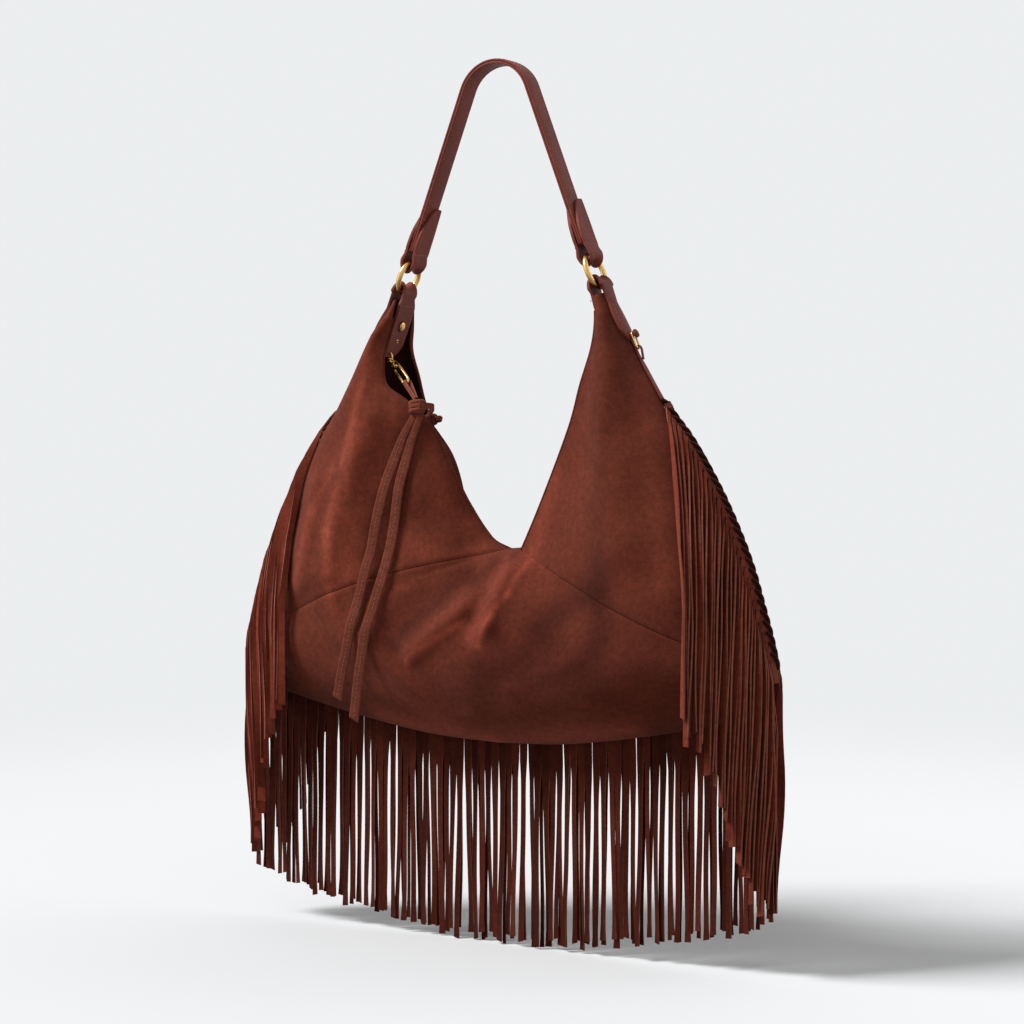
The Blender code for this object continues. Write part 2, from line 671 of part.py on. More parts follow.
# Fringe folded over a side seam, with strands in front of and behind the bag
def make_side_fringe(side, label):
    top = SIDES[side].share_at_height(HORN_TOP - SIDE_TOP_DROP * BODY_HEIGHT)
    end = SIDES[side].share_at_height(HORN_TOP - SIDE_END_DROP * BODY_HEIGHT)
    count = SIDE_STRANDS
    pitch = (end - top) / count
    fill = STRAND_WIDTH / (pitch * SIDES[side].length)
    lift = GAP + FRINGE_THICK / 2 + 0.3
    shares = []
    for k in range(count):
        shares += [top + pitch * (k + 0.5 - fill / 2), top + pitch * (k + 0.5 + fill / 2)]

    def seam_skin(share, back, v):
        part_share = share / YOKE[side]
        if part_share <= 1:
            return skin(side, back, min(part_share, 0.985), v, lift)
        length = (share - YOKE[side]) * SIDES[side].length
        span = SIDES[side].length * (1 - YOKE[side]) * 2
        u = length / span
        u = max(u, 0.008)
        return skin("base", back, u if side < 0 else 1 - u, v, lift)

    bm = bmesh.new()
    levels = [(False, 0.02), (False, 0.0), (None, 0.0), (True, 0.0), (True, 0.02)]
    rows = []
    for back, v in levels:
        row = []
        for share in shares:
            spot = seam_skin(share, bool(back), v)
            if back is None:
                crest, _, up = seam_frame(side, share / YOKE[side])
                spot = crest + up * (SUEDE / 2 + GAP + FRINGE_THICK / 2 + 0.3)
            row.append(bm.verts.new(spot * MM))
        rows.append(row)
    for low, high in zip(rows, rows[1:]):
        for k in range(len(shares) - 1):
            bm.faces.new((low[k], low[k + 1], high[k + 1], high[k]))
    bm.edges.ensure_lookup_table()
    for back, row in ((False, rows[0]), (True, rows[-1])):
        y_sign = 1 if back else -1
        for k in range(count):
            share = k / (count - 1)
            root = (row[2 * k].co + row[2 * k + 1].co) / 2 / MM
            hang_strand(bm, row[2 * k], row[2 * k + 1], root, side, y_sign, share, back)
    bmesh.ops.recalc_face_normals(bm, faces=bm.faces[:])
    mesh = bpy.data.meshes.new("side_fringe_" + label)
    bm.to_mesh(mesh)
    bm.free()
    fringe = thicken(add_object("side_fringe_" + label, mesh, FRINGE_FINISH), FRINGE_THICK)
    fringe.modifiers[0].use_even_offset = False
    return fringe


def hang_strand(bm, first, second, root, side, y_sign, share, back):
    end_x = side * (CURTAIN_FRONT[0] + (CURTAIN_SIDE[0] - CURTAIN_FRONT[0]) * share)
    end_y = CURTAIN_FRONT[1] + (CURTAIN_SIDE[1] - CURTAIN_FRONT[1]) * share ** 1.1
    place = share * (len(SIDE_LENGTHS) - 1)
    low = min(int(place), len(SIDE_LENGTHS) - 2)
    length = SIDE_LENGTHS[low] + (SIDE_LENGTHS[low + 1] - SIDE_LENGTHS[low]) * (place - low)
    length += random.uniform(-5, 5)
    seam = (second.co - first.co).normalized()
    slat_angle = math.radians(35 + 20 * share)
    slat = Vector((side * math.cos(slat_angle), y_sign * math.sin(slat_angle), 0))
    previous = [first, second]
    held = 0.0
    for step in (0.03, 0.08, 0.14, 0.22, 0.32, 0.5, 1.0):
        z = root.z - length * step
        x = root.x + (end_x - root.x) * ease(step * 1.3)
        lift = abs(root.y) + 1.5
        out_y = lift + (end_y - lift) * ease(step * 1.6)
        for drop in (-8.0, 0.0):
            room = 1.0 + 2.4 * min(1.0, step * 5)
            held = max(held, depth_at(x, z + drop * min(1.0, step * 4), back, 4.0) + SUEDE / 2 + room)
        out_y = max(out_y, held)
        across = seam.lerp(slat, ease(step * 5)).normalized() * (STRAND_WIDTH / 2)
        centre = clear_of_suede(Vector((x, y_sign * out_y, z)), back)
        fresh = [bm.verts.new((centre - across) * MM), bm.verts.new((centre + across) * MM)]
        bm.faces.new((previous[0], previous[1], fresh[1], fresh[0]))
        previous = fresh


# Fringe in the bottom seam
def make_bottom_fringe():
    corner = SIDES[1].share_at_height(HORN_TOP - (SIDE_END_DROP + 0.02) * BODY_HEIGHT)
    run = SIDES[1].length * (1 - corner)
    pitch = 2 * run / BOTTOM_STRANDS
    bm = bmesh.new()

    def seam_at(distance):
        side = -1 if distance < 0 else 1
        here = SIDES[side].at(1 - abs(distance) / SIDES[side].length)
        ahead = SIDES[side].at(1 - (abs(distance) + 0.5) / SIDES[side].length)
        along = (ahead - here).normalized() * side
        return here, Vector((along.z, 0, -along.x))

    rows = [[], []]
    for k in range(BOTTOM_STRANDS):
        middle = -run + pitch * (k + 0.5)
        for distance in (middle - STRAND_WIDTH / 2, middle + STRAND_WIDTH / 2):
            here, outward = seam_at(distance)
            rows[0].append(bm.verts.new((here - outward * 3.0) * MM))
            rows[1].append(bm.verts.new((here + outward * 3.5) * MM))
    for k in range(len(rows[0]) - 1):
        bm.faces.new((rows[0][k], rows[0][k + 1], rows[1][k + 1], rows[1][k]))
    for k in range(BOTTOM_STRANDS):
        pair = [rows[1][2 * k], rows[1][2 * k + 1]]
        root = (pair[0].co + pair[1].co) / 2 / MM
        sway = random.uniform(-0.5, 0.5)
        lean = random.uniform(-3.0, 3.0)
        length = BOTTOM_LENGTH - 3.5 + random.uniform(-2.0, 2.0)
        for step in (0.33, 0.66, 1.0):
            centre = root + Vector((sway * step, lean * step, -length * step))
            half = Vector((STRAND_WIDTH / 2, 0, 0))
            fresh = [bm.verts.new((centre - half) * MM), bm.verts.new((centre + half) * MM)]
            bm.faces.new((pair[0], pair[1], fresh[1], fresh[0]))
            pair = fresh
    bmesh.ops.recalc_face_normals(bm, faces=bm.faces[:])
    mesh = bpy.data.meshes.new("bottom_fringe")
    bm.to_mesh(mesh)
    bm.free()
    return thicken(add_object("bottom_fringe", mesh, FRINGE_FINISH), FRINGE_THICK)


# Looped thongs along the crest of a side seam
def make_lacing(side, label):
    top = SIDES[side].share_at_height(HORN_TOP - SIDE_TOP_DROP * BODY_HEIGHT)
    end = SIDES[side].share_at_height(HORN_TOP - SIDE_END_DROP * BODY_HEIGHT)
    count = 2 * SIDE_STRANDS + 1
    points, swell = [], []
    for k in range(count):
        here = SIDES[side].at(top + (end - top) * k / (count - 1))
        ahead = SIDES[side].at(top + (end - top) * k / (count - 1) + 0.004)
        along = (ahead - here).normalized()
        lift = WIDE.cross(along)
        lift = lift if lift.x * side > 0 else -lift
        points.append(here + lift * (SUEDE / 2 + 2 * GAP + FRINGE_THICK + LACING + 2.2))
        swell.append(1.0 if k % 2 else 0.72)
    return wire("side_lacing_" + label, points, LACING, LEATHER, resolution=1, swell=swell)


# Swivel clip that hangs in the mouth from the left tongue


def keeper_centre():
    return Vector(KEEPER_SPOT)


def clip_frame():
    ring_middle = TONGUE_HOLE + down(-1) * (CLASP_RING - 0.2)
    target = keeper_centre() + Vector((-3.0, 3.0, KEEPER_HALF[2] + 4.0))
    toward = target - ring_middle
    radial = Vector((toward.x, 0, toward.z)).normalized()
    link = ring_middle + radial * CLASP_RING
    axis = (target - link).normalized()
    return ring_middle, link, axis, (target - link).length


def make_clip():
    ring_middle, link, axis, _ = clip_frame()
    across = Vector((1, 0, 0))
    points = circle(ring_middle, CLASP_RING, across, Vector((0, 0, 1)), 16)
    wire("clasp_ring", points, SMALL_WIRE, BRASS, closed=True, resolution=1)

    view = Vector((0.5, -0.866, 0))
    flat = Matrix.Rotation(HOOK_TURN, 3, axis) @ axis.cross(view).normalized()
    normal = flat.cross(axis).normalized()
    eye_normal = Vector((axis.z, 0, -axis.x)).normalized()
    eye_side = axis.cross(eye_normal).normalized()
    eye_middle = link + axis * (CLASP_EYE - EYE_LAP)
    wire("eye_loop", circle(eye_middle, CLASP_EYE, axis, eye_side, 14), SMALL_WIRE, BRASS,
         closed=True, resolution=1)
    eye = as_mesh(bpy.data.objects["eye_loop"])
    eye.name = "clasp_eye"
    post_start = CLASP_EYE * 2 - EYE_LAP - 0.6
    post = turned("clasp_post", [(0.0, post_start), (0.9, post_start), (0.9, post_start + 5.6),
                                 (1.6, post_start + 5.7), (1.6, post_start + 6.8), (0.0, post_start + 6.9)],
                  frame_at(link, axis, flat), BRASS, 12)
    combine(eye, post, "UNION")
    eye.data.materials.append(finish_material(BRASS))

    collar = post_start + 1.5
    body = turned("clasp_hook", [(1.35, collar), (2.3, collar), (2.6, collar + 1.0), (2.6, collar + 2.4),
                                 (2.2, collar + 3.6), (1.35, collar + 3.6), (1.35, collar)],
                  frame_at(link, axis, flat), BRASS, 14)
    top = collar + 3.0
    shape = [(-1.9, 0.0), (-3.0, 1.2), (-HOOK_HALF, 5.0), (-HOOK_HALF, HOOK_LENGTH - HOOK_HALF)]
    for k in range(1, 8):
        angle = math.pi * k / 8
        shape.append((-HOOK_HALF * math.cos(angle),
                      HOOK_LENGTH - HOOK_HALF + HOOK_HALF * math.sin(angle)))
    shape += [(HOOK_HALF, HOOK_LENGTH - HOOK_HALF), (HOOK_HALF, HOOK_LENGTH - HOOK_HALF - 1.5)]
    points = [link + axis * (top + fall) + flat * across for across, fall in shape]
    wire("hook_loop", points, HOOK_WIRE, BRASS, resolution=1)
    combine(body, as_mesh(bpy.data.objects["hook_loop"]), "UNION")

    pivot = top + 1.4
    gate_end = HOOK_LENGTH - HOOK_HALF - 1.5 - HOOK_WIRE - GAP
    gate_x = HOOK_HALF - 0.1
    gate = [link + axis * (pivot + 1.2) + flat * (gate_x - 0.9), link + axis * (pivot + 2.6) + flat * gate_x,
            link + axis * (top + gate_end - 2.0) + flat * gate_x, link + axis * (top + gate_end) + flat * gate_x]
    wire("clasp_gate", gate, HOOK_WIRE * 0.9, BRASS, resolution=1)
    return link, axis, flat, normal, top


# Tie: a thong loop in the clip, its keeper on the mouth's edge, and strands hanging from it.
# A strand's plan is its way across and down from the keeper
TIE_LEFT = [(-57, 2), (-65.5, 20), (-76, 50), (-84, 85), (-91, 125), (-99, 165), (-106, 195), (-110, 215)]
TIE_RIGHT = [(-51, 2), (-58.5, 20), (-66, 50), (-70, 85), (-76, 125), (-84, 165), (-90, 200), (-94, 230)]
TIE_INNER = [(-57, -3, -271), (-52, -1, -279), (-44.5, 0, -292), (-37, 0, -312), (-30, 0, -345),
             (-24, 0, -380), (-20, 0, -415)]


def make_keeper(name, centre, half, finish):
    bm = bmesh.new()
    bmesh.ops.create_cube(bm, size=2.0)
    bmesh.ops.transform(bm, matrix=Matrix.Translation(centre * MM) @ Matrix.Diagonal(
        (half[0] * MM, half[1] * MM, half[2] * MM, 1.0)), verts=bm.verts)
    bmesh.ops.bevel(bm, geom=bm.edges[:], offset=min(half) * 0.55 * MM, segments=2, profile=0.5,
                    affect="EDGES", material=-1)
    mesh = bpy.data.meshes.new(name)
    bm.to_mesh(mesh)
    bm.free()
    return add_object(name, mesh, finish)


def strand_points(plan, lift):
    top = keeper_centre()
    route = Route([Vector((x, 0, top.z - KEEPER_HALF[2] - GAP - fall)) for x, fall in plan])
    steps = 26
    points = []
    held = abs(top.y)
    for k in range(steps + 1):
        point = route.at(k / steps)
        for drop in (-7.0, 0.0, 7.0):
            held = max(held, depth_at(point.x, point.z + drop, False, 4.0) + SUEDE / 2 + lift)
        points.append(Vector((point.x, -held, point.z)))
    return points


def make_ties(link, axis, flat, normal, top):
    bottom = link + axis * (top + HOOK_LENGTH)
    centre = keeper_centre()
    half = flat * 1.7
    turn = HOOK_WIRE + LOOP_PLAY + LOOP_THICK / 2
    landing = centre + Vector((-1.0, 0.0, KEEPER_HALF[2] + GAP + 1.6))
    rows = [(landing - WIDE * 1.4, half)]
    for k in range(5):
        angle = math.pi * k / 4
        rows.append((bottom + normal * turn * math.cos(angle) - axis * turn * math.sin(angle), half))
    rows.append((landing + WIDE * 1.4, half))
    band("tie_loop", rows, 1, LOOP_THICK, SUEDE_FINISH)
    make_keeper("tie_keeper", centre, KEEPER_HALF, SUEDE_FINISH)
    for name, plan, lift in (("tie_strand_left", TIE_LEFT, THONG + 1.0),
                             ("tie_strand_right", TIE_RIGHT, THONG + 1.0)):
        wire(name, strand_points(plan, lift), THONG, SUEDE_FINISH)
    inner = Vector(INNER_KEEPER_SPOT)
    make_keeper("inner_keeper", inner, INNER_KEEPER_HALF, SUEDE_FINISH)
    rise = Vector((0, 0, 2.2))
    first = centre + Vector((KEEPER_HALF[0] + GAP + 0.8, 1.5, 1.0))
    last = inner + Vector((1.0, -INNER_KEEPER_HALF[1] - GAP - 0.9, 2.2))
    route = Route([first, centre + Vector((9.5, 8, -0.5)), last + Vector((2.5, -5.5, 2.0)), last])
    band("tie_bridge", [(route.at(k / 6), rise) for k in range(7)], 1, LOOP_THICK, SUEDE_FINISH)
    knob = inner + Vector((INNER_KEEPER_HALF[0] + GAP + 2.4, 0, 0.5))
    make_keeper("keeper_knob", knob, (2.4, 2.4, 2.4), SUEDE_FINISH)
    route = Route([Vector(point) for point in TIE_INNER])
    wire("tie_strand_inner", [route.at(k / 20) for k in range(21)], THONG, SUEDE_FINISH)


def build():
    make_strap()
    make_body()
    remember_panels()
    for side, label in ((-1, "left"), (1, "right")):
        make_ring(side, label)
        make_strap_tab(side, label)
        make_bag_tab(side, label)
        make_rivet(side, label)
        if side > 0:
            make_side_strap(side, label)
        make_side_fringe(side, label)
        make_lacing(side, label)
    make_piping(False, "front_mouth_piping")
    make_piping(True, "back_mouth_piping")
    make_bottom_fringe()
    make_ties(*make_clip())


for old in list(bpy.data.objects):
    bpy.data.objects.remove(old)
random.seed(7)
bag_parts = bpy.data.collections.new("fringed_suede_bag")
cutters = bpy.data.collections.new("cutters")
bpy.context.scene.collection.children.link(bag_parts)
bpy.context.scene.collection.children.link(cutters)
build()
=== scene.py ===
import math
import random

import bmesh
import bpy
from mathutils import Matrix, Vector
from mathutils.bvhtree import BVHTree


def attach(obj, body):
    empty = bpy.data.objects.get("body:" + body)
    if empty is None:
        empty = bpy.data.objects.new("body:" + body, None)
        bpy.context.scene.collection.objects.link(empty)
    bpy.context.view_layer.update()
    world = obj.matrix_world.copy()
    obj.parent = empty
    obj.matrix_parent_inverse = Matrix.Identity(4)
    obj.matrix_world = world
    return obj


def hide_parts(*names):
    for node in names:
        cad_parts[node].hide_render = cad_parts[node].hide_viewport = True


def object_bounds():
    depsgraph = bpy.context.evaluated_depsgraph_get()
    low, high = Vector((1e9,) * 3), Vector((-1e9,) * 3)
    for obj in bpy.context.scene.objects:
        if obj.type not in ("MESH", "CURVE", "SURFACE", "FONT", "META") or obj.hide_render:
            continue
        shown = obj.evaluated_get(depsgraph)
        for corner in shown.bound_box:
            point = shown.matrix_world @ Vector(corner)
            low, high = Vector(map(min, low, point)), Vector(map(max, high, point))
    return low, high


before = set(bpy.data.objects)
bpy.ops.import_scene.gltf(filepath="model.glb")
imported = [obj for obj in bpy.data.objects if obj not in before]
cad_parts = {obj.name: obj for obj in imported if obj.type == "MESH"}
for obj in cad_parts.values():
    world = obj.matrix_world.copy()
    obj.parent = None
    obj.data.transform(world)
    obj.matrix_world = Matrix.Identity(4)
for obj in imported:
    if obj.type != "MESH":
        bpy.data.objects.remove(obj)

mm = 0.001  # lengths below are in millimetres, meshes are in metres
wide = Vector((0, 1, 0))  # front to back
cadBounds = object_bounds()
random.seed(11)
scene = bpy.context.scene

# What the pieces share: measures of the CAD model
bag = {
    "leather": 2.2, "suede": 1.8, "gap": 0.35,
    "strapWidth": 18.0, "strapThick": 4.2, "crownRadius": 29.3, "legLean": math.radians(21),
    "legLength": 148.5, "strapEnd": 21.0,
    "ringRadius": 12.6, "ringWire": 2.05, "foldPlay": 0.7,
    "halfWidth": 225.0, "bodyHeight": 333.0, "hornHalf": 3.0, "hornStart": 18.7,
    "yokeDrop": 0.81, "fringeTop": 0.248, "fringeEnd": 0.83,
}
halfLeather = bag["leather"] / 2
overSuede = bag["suede"] / 2 + bag["gap"]  # from the middle of the suede to what lies on it
foldRadius = bag["ringRadius"] - bag["ringWire"] - halfLeather - bag["gap"] - bag["foldPlay"]

# Camera, floor and lights. A lamp is its name, power, place, aim and size
camera = {"place": (0.877, -1.501, -0.264), "aim": (0.008, 0.0045, -0.333), "lens": 81.5}
studio = {
    "paper": (0.838, 0.855, 0.863, 1), "ambientColour": (1.0, 0.99, 0.98, 1), "ambient": 0.50,
    "floorColour": (0.625, 0.637, 0.646, 1), "floorBounce": (0.24, 0.23, 0.22, 1), "floorDrop": 1.5,
    "floorReach": 1.6, "floorFade": (0.05, 0.62), "keyPower": 3.9, "keyTurn": (44, 0, -52), "keySoft": 20,
    "lamps": (("fill", 6.0, (-1.6, -1.5, 0.1), (0, 0, -0.35), 1.4),
              ("rim", 5.0, (1.5, 1.0, 0.5), (0, 0, -0.3), 1.0)),
}


def addAimed(name, data, place, aim):
    thing = bpy.data.objects.new(name, data)
    thing.location = place
    thing.rotation_euler = (Vector(aim) - Vector(place)).to_track_quat("-Z", "Y").to_euler()
    scene.collection.objects.link(thing)
    return thing


def addCamera():
    data = bpy.data.cameras.new("camera")
    data.lens = camera["lens"]
    data.sensor_width = 36
    data.clip_start = 0.01
    scene.camera = addAimed("camera", data, camera["place"], camera["aim"])


# Each input is given a value, or joined where the value is another node's output
def setInputs(tree, node, inputs):
    for socket, value in inputs.items():
        if isinstance(value, bpy.types.NodeSocket):
            tree.links.new(value, node.inputs[socket])
        else:
            node.inputs[socket].default_value = value


def addNode(tree, kind, inputs, **settings):
    node = tree.nodes.new("ShaderNode" + kind)
    for label, value in settings.items():
        setattr(node, label, value)
    setInputs(tree, node, inputs)
    return node.outputs


def emptyTree(owner):
    owner.use_nodes = True
    owner.node_tree.nodes.clear()
    return owner.node_tree


def meshFrom(name, bm):
    mesh = bpy.data.meshes.new(name)
    bm.to_mesh(mesh)
    bm.free()
    return mesh


# The camera sees pale paper, and the bag is lit by a dimmer ambient light
def addWorld():
    scene.world = bpy.data.worlds.new("studio")
    tree = emptyTree(scene.world)
    paper = addNode(tree, "Background", {"Color": studio["paper"]})
    light = addNode(tree, "Background", {"Color": studio["ambientColour"], "Strength": studio["ambient"]})
    rays = addNode(tree, "LightPath", {})
    seen = rays["Is Camera Ray"]
    for other in ("Is Glossy Ray", "Is Transmission Ray"):
        seen = addNode(tree, "Math", {0: seen, 1: rays[other]}, operation="MAXIMUM")[0]
    mix = addNode(tree, "MixShader", {0: seen, 1: light[0], 2: paper[0]})
    addNode(tree, "OutputWorld", {"Surface": mix[0]})


# The floor fades into the paper at its rim, and keeps the bag's soft shadow
def addFloor():
    level = cadBounds[0][2] - studio["floorDrop"] * mm
    bm = bmesh.new()
    bmesh.ops.create_circle(bm, cap_ends=True, cap_tris=False, segments=96, radius=studio["floorReach"])
    bmesh.ops.translate(bm, verts=bm.verts, vec=(0, 0, level))
    floor = bpy.data.objects.new("floor", meshFrom("floor", bm))
    scene.collection.objects.link(floor)
    floor.data.materials.append(bpy.data.materials.new("floorPaper"))
    tree = emptyTree(floor.data.materials[0])
    matte = addNode(tree, "BsdfDiffuse", {"Color": studio["floorColour"]})
    dim = addNode(tree, "BsdfDiffuse", {"Color": studio["floorBounce"]})  # keeps the bag's underside dark
    seen = addNode(tree, "LightPath", {})["Is Camera Ray"]
    shade = addNode(tree, "MixShader", {0: seen, 1: dim[0], 2: matte[0]})
    place = addNode(tree, "Mapping", {"Vector": addNode(tree, "TexCoord", {})["Object"],
                                      "Scale": (1 / studio["floorReach"], 1 / studio["floorReach"], 0)})
    middle = addNode(tree, "TexGradient", {"Vector": place[0]}, gradient_type="SPHERICAL")
    low, high = studio["floorFade"]
    fade = addNode(tree, "MapRange", {"Value": middle["Fac"], "From Min": low, "From Max": high},
                   interpolation_type="SMOOTHSTEP")
    clear = addNode(tree, "BsdfTransparent", {})
    mix = addNode(tree, "MixShader", {0: fade["Result"], 1: clear[0], 2: shade[0]})
    addNode(tree, "OutputMaterial", {"Surface": mix[0]})


def addLamps():
    key = bpy.data.lights.new("key", "SUN")
    key.energy = studio["keyPower"]
    key.angle = math.radians(studio["keySoft"])
    lamp = bpy.data.objects.new("key", key)
    lamp.rotation_euler = [math.radians(turn) for turn in studio["keyTurn"]]
    scene.collection.objects.link(lamp)
    for name, power, place, aim, size in studio["lamps"]:
        data = bpy.data.lights.new(name, "AREA")
        data.energy = power
        data.size = size
        addAimed(name, data, place, aim)


addCamera()
addWorld()
addFloor()
addLamps()
scene.view_settings.view_transform = "Standard"
print("camera and studio are in place")


# Shared effects: each is a node group that turns shades and a place into colour, roughness and height
def makeGroup(effect, shades, **values):
    tree = bpy.data.node_groups.new(effect.__name__, "ShaderNodeTree")
    for label in shades:
        tree.interface.new_socket(label, in_out="INPUT", socket_type="NodeSocketColor")
    for label, value in values.items():
        socket = tree.interface.new_socket(label, in_out="INPUT", socket_type="NodeSocketFloat")
        socket.default_value = value
    tree.interface.new_socket("Vector", in_out="INPUT", socket_type="NodeSocketVector")
    for label, kind in (("Colour", "Color"), ("Rough", "Float"), ("Height", "Float")):
        tree.interface.new_socket(label, in_out="OUTPUT", socket_type="NodeSocket" + kind)
    given = tree.nodes.new("NodeGroupInput").outputs
    result = tree.nodes.new("NodeGroupOutput")
    setInputs(tree, result, dict(zip(("Colour", "Rough", "Height"), effect(tree, given["Vector"], given))))
    return tree


def addNoise(tree, vector, scale, detail, rough, stretch=None):
    if stretch:
        vector = addNode(tree, "Mapping", {"Vector": vector, "Scale": stretch})[0]
    noise = {"Vector": vector, "Scale": scale, "Detail": detail, "Roughness": rough}
    return addNode(tree, "TexNoise", noise)["Fac"]


def addMath(tree, operation, first, second):
    return addNode(tree, "Math", {0: first, 1: second}, operation=operation)[0]


def addRange(tree, value, low, high, toLow, toHigh):
    return addNode(tree, "MapRange", {"Value": value, "From Min": low, "From Max": high,
                                      "To Min": toLow, "To Max": toHigh})["Result"]


# Shades laid over a colour in turn, each with its share
def addLayers(tree, colour, layers):
    for shade, share in layers:
        colour = addNode(tree, "Mix", {0: share, 6: colour, 7: shade}, data_type="RGBA")[2]
    return colour


def weigh(tree, operation, first, firstWeight, second, secondWeight):
    return addMath(tree, operation, addMath(tree, "MULTIPLY", first, firstWeight),
                   addMath(tree, "MULTIPLY", second, secondWeight))


# Brushed nap: cloudy shade where the pile lies another way, short fibres and fine specks
def brushedNap(tree, where, given):
    cloud = addNoise(tree, where, 9.0, 4.0, 0.6)
    patch = addNoise(tree, where, 42.0, 4.0, 0.65)
    speck = addNoise(tree, where, 620.0, 3.0, 0.7)
    fibre = addNoise(tree, where, 900.0, 2.0, 0.6, (1.0, 1.0, 0.35))
    mottle = addNoise(tree, where, 230.0, 5.0, 0.8)
    pile = weigh(tree, "ADD", cloud, 0.62, patch, 0.38)
    grain = addMath(tree, "MULTIPLY", addRange(tree, speck, 0.25, 0.75, 0.0, 1.0),
                    addRange(tree, fibre, 0.25, 0.75, 0.35, 1.0))
    colour = addLayers(tree, given["Colour"], [
        (given["Dark"], addRange(tree, pile, 0.36, 0.50, 0.45, 0.0)),
        (given["Light"], addRange(tree, pile, 0.51, 0.68, 0.0, 0.42)),
        (given["Dark"], addRange(tree, grain, 0.0, 0.9, 0.34, 0.0)),
        (given["Light"], addRange(tree, grain, 0.52, 0.95, 0.0, 0.36))])
    # The tone scales the colour: on the panels it carries painted highlights and painted shade, on the bottom
    # fringe painted shade, on the side strands it differs at random
    tone = addMath(tree, "MULTIPLY", addRange(tree, given["Tone"], 0.0, 2.0, 0.40, 2.80),
                   addRange(tree, mottle, 0.36, 0.64, 0.80, 1.20))
    lit = addNode(tree, "VectorMath", {0: colour, "Scale": tone}, operation="SCALE")[0]
    rough = addRange(tree, speck, 0.2, 0.8, 0.86, 1.0)
    return lit, rough, weigh(tree, "ADD", grain, 0.6, patch, 0.5)


# Leather: pebbled grain between fine creases, polished high spots, scuffs
def leatherGrain(tree, where, given):
    pebbles = {"Vector": where, "Scale": given["Scale"]}
    cells = addNode(tree, "TexVoronoi", pebbles, feature="DISTANCE_TO_EDGE")
    crease = addRange(tree, cells["Distance"], 0.0, 0.14, 1.0, 0.0)
    cloud = addNoise(tree, where, 26.0, 4.0, 0.6)
    scuff = addNoise(tree, where, 210.0, 5.0, 0.7)
    colour = addLayers(tree, given["Colour"], [
        (given["Dark"], addRange(tree, cloud, 0.38, 0.62, 0.55, 0.0)),
        (given["Dark"], addMath(tree, "MULTIPLY", crease, 0.45)),
        (given["Light"], addRange(tree, scuff, 0.54, 0.72, 0.0, 0.5))])
    rough = addRange(tree, scuff, 0.3, 0.7, 0.42, 0.62)
    return colour, rough, weigh(tree, "SUBTRACT", scuff, 0.35, crease, 0.5)


# Polished metal: faint swirls and small tarnished spots
def polishMarks(tree, where, given):
    spots = addNoise(tree, where, 260.0, 5.0, 0.65)
    swirl = addNoise(tree, where, 1500.0, 2.0, 0.5, (1.0, 1.0, 0.15))
    tarnish = addRange(tree, spots, 0.5, 0.72, 0.0, 0.55)
    worn = addRange(tree, spots, 0.4, 0.75, 0.20, 0.36)
    colour = addLayers(tree, given["Colour"], [(given["Dark"], tarnish)])
    return colour, weigh(tree, "ADD", worn, 1.0, swirl, 0.06), swirl


effects = {
    "nap": makeGroup(brushedNap, ("Colour", "Dark", "Light"), Tone=0.5),
    "grain": makeGroup(leatherGrain, ("Colour", "Dark", "Light"), Scale=900.0),
    "polish": makeGroup(polishMarks, ("Colour", "Dark")),
}

# Shades are colour, dark and light. Bump is its strength and its depth
finishes = {
    "suede": {"effect": "nap", "bump": (0.35, 0.5), "sheen": 0.05, "tone": True,
              "shades": ((0.128, 0.0275, 0.0150), (0.070, 0.0140, 0.0080), (0.190, 0.047, 0.027))},
    # The inner suede is painted dark, a painted shade for the inside of the bag
    "suedeInside": {"effect": "nap", "bump": (0.4, 0.6), "sheen": 0.03,
                    "shades": ((0.060, 0.016, 0.010), (0.034, 0.009, 0.006), (0.095, 0.028, 0.018))},
    "strands": {"effect": "nap", "bump": (0.4, 0.5), "sheen": 0.05, "tone": True,
                "shades": ((0.100, 0.0185, 0.0098), (0.046, 0.0080, 0.0045), (0.165, 0.038, 0.022))},
    "thong": {"effect": "nap", "bump": (0.4, 0.5), "sheen": 0.08,
              "shades": ((0.190, 0.050, 0.030), (0.110, 0.027, 0.016), (0.28, 0.09, 0.06))},
    "leather": {"effect": "grain", "bump": (0.3, 0.35), "scale": 950.0, "gloss": 0.13,
                "shades": ((0.200, 0.044, 0.031), (0.110, 0.024, 0.017), (0.310, 0.098, 0.074))},
    "leatherEdge": {"effect": "grain", "bump": (0.3, 0.3), "scale": 1700.0,
                    "shades": ((0.100, 0.027, 0.021), (0.058, 0.015, 0.012), (0.14, 0.05, 0.038))},
    # Cut edges are painted much lighter than the faces, a painted highlight where the edges catch light
    "cutEdgeHighlight": {"effect": "nap", "bump": (0.4, 0.3), "sheen": 0.1,
                "shades": ((0.270, 0.082, 0.052), (0.150, 0.038, 0.024), (0.42, 0.170, 0.120))},
    "thread": {"effect": "grain", "bump": (0.2, 0.1), "sheen": 0.2, "scale": 2600.0,
               "shades": ((0.34, 0.145, 0.105), (0.22, 0.08, 0.055), (0.46, 0.22, 0.17))},
    "brass": {"effect": "polish", "bump": (0.02, 0.02), "metal": 1.0,
              "shades": ((0.70, 0.43, 0.155), (0.48, 0.26, 0.085))},
}
finishes["suedeRoll"] = dict(finishes["suede"], tone=False)


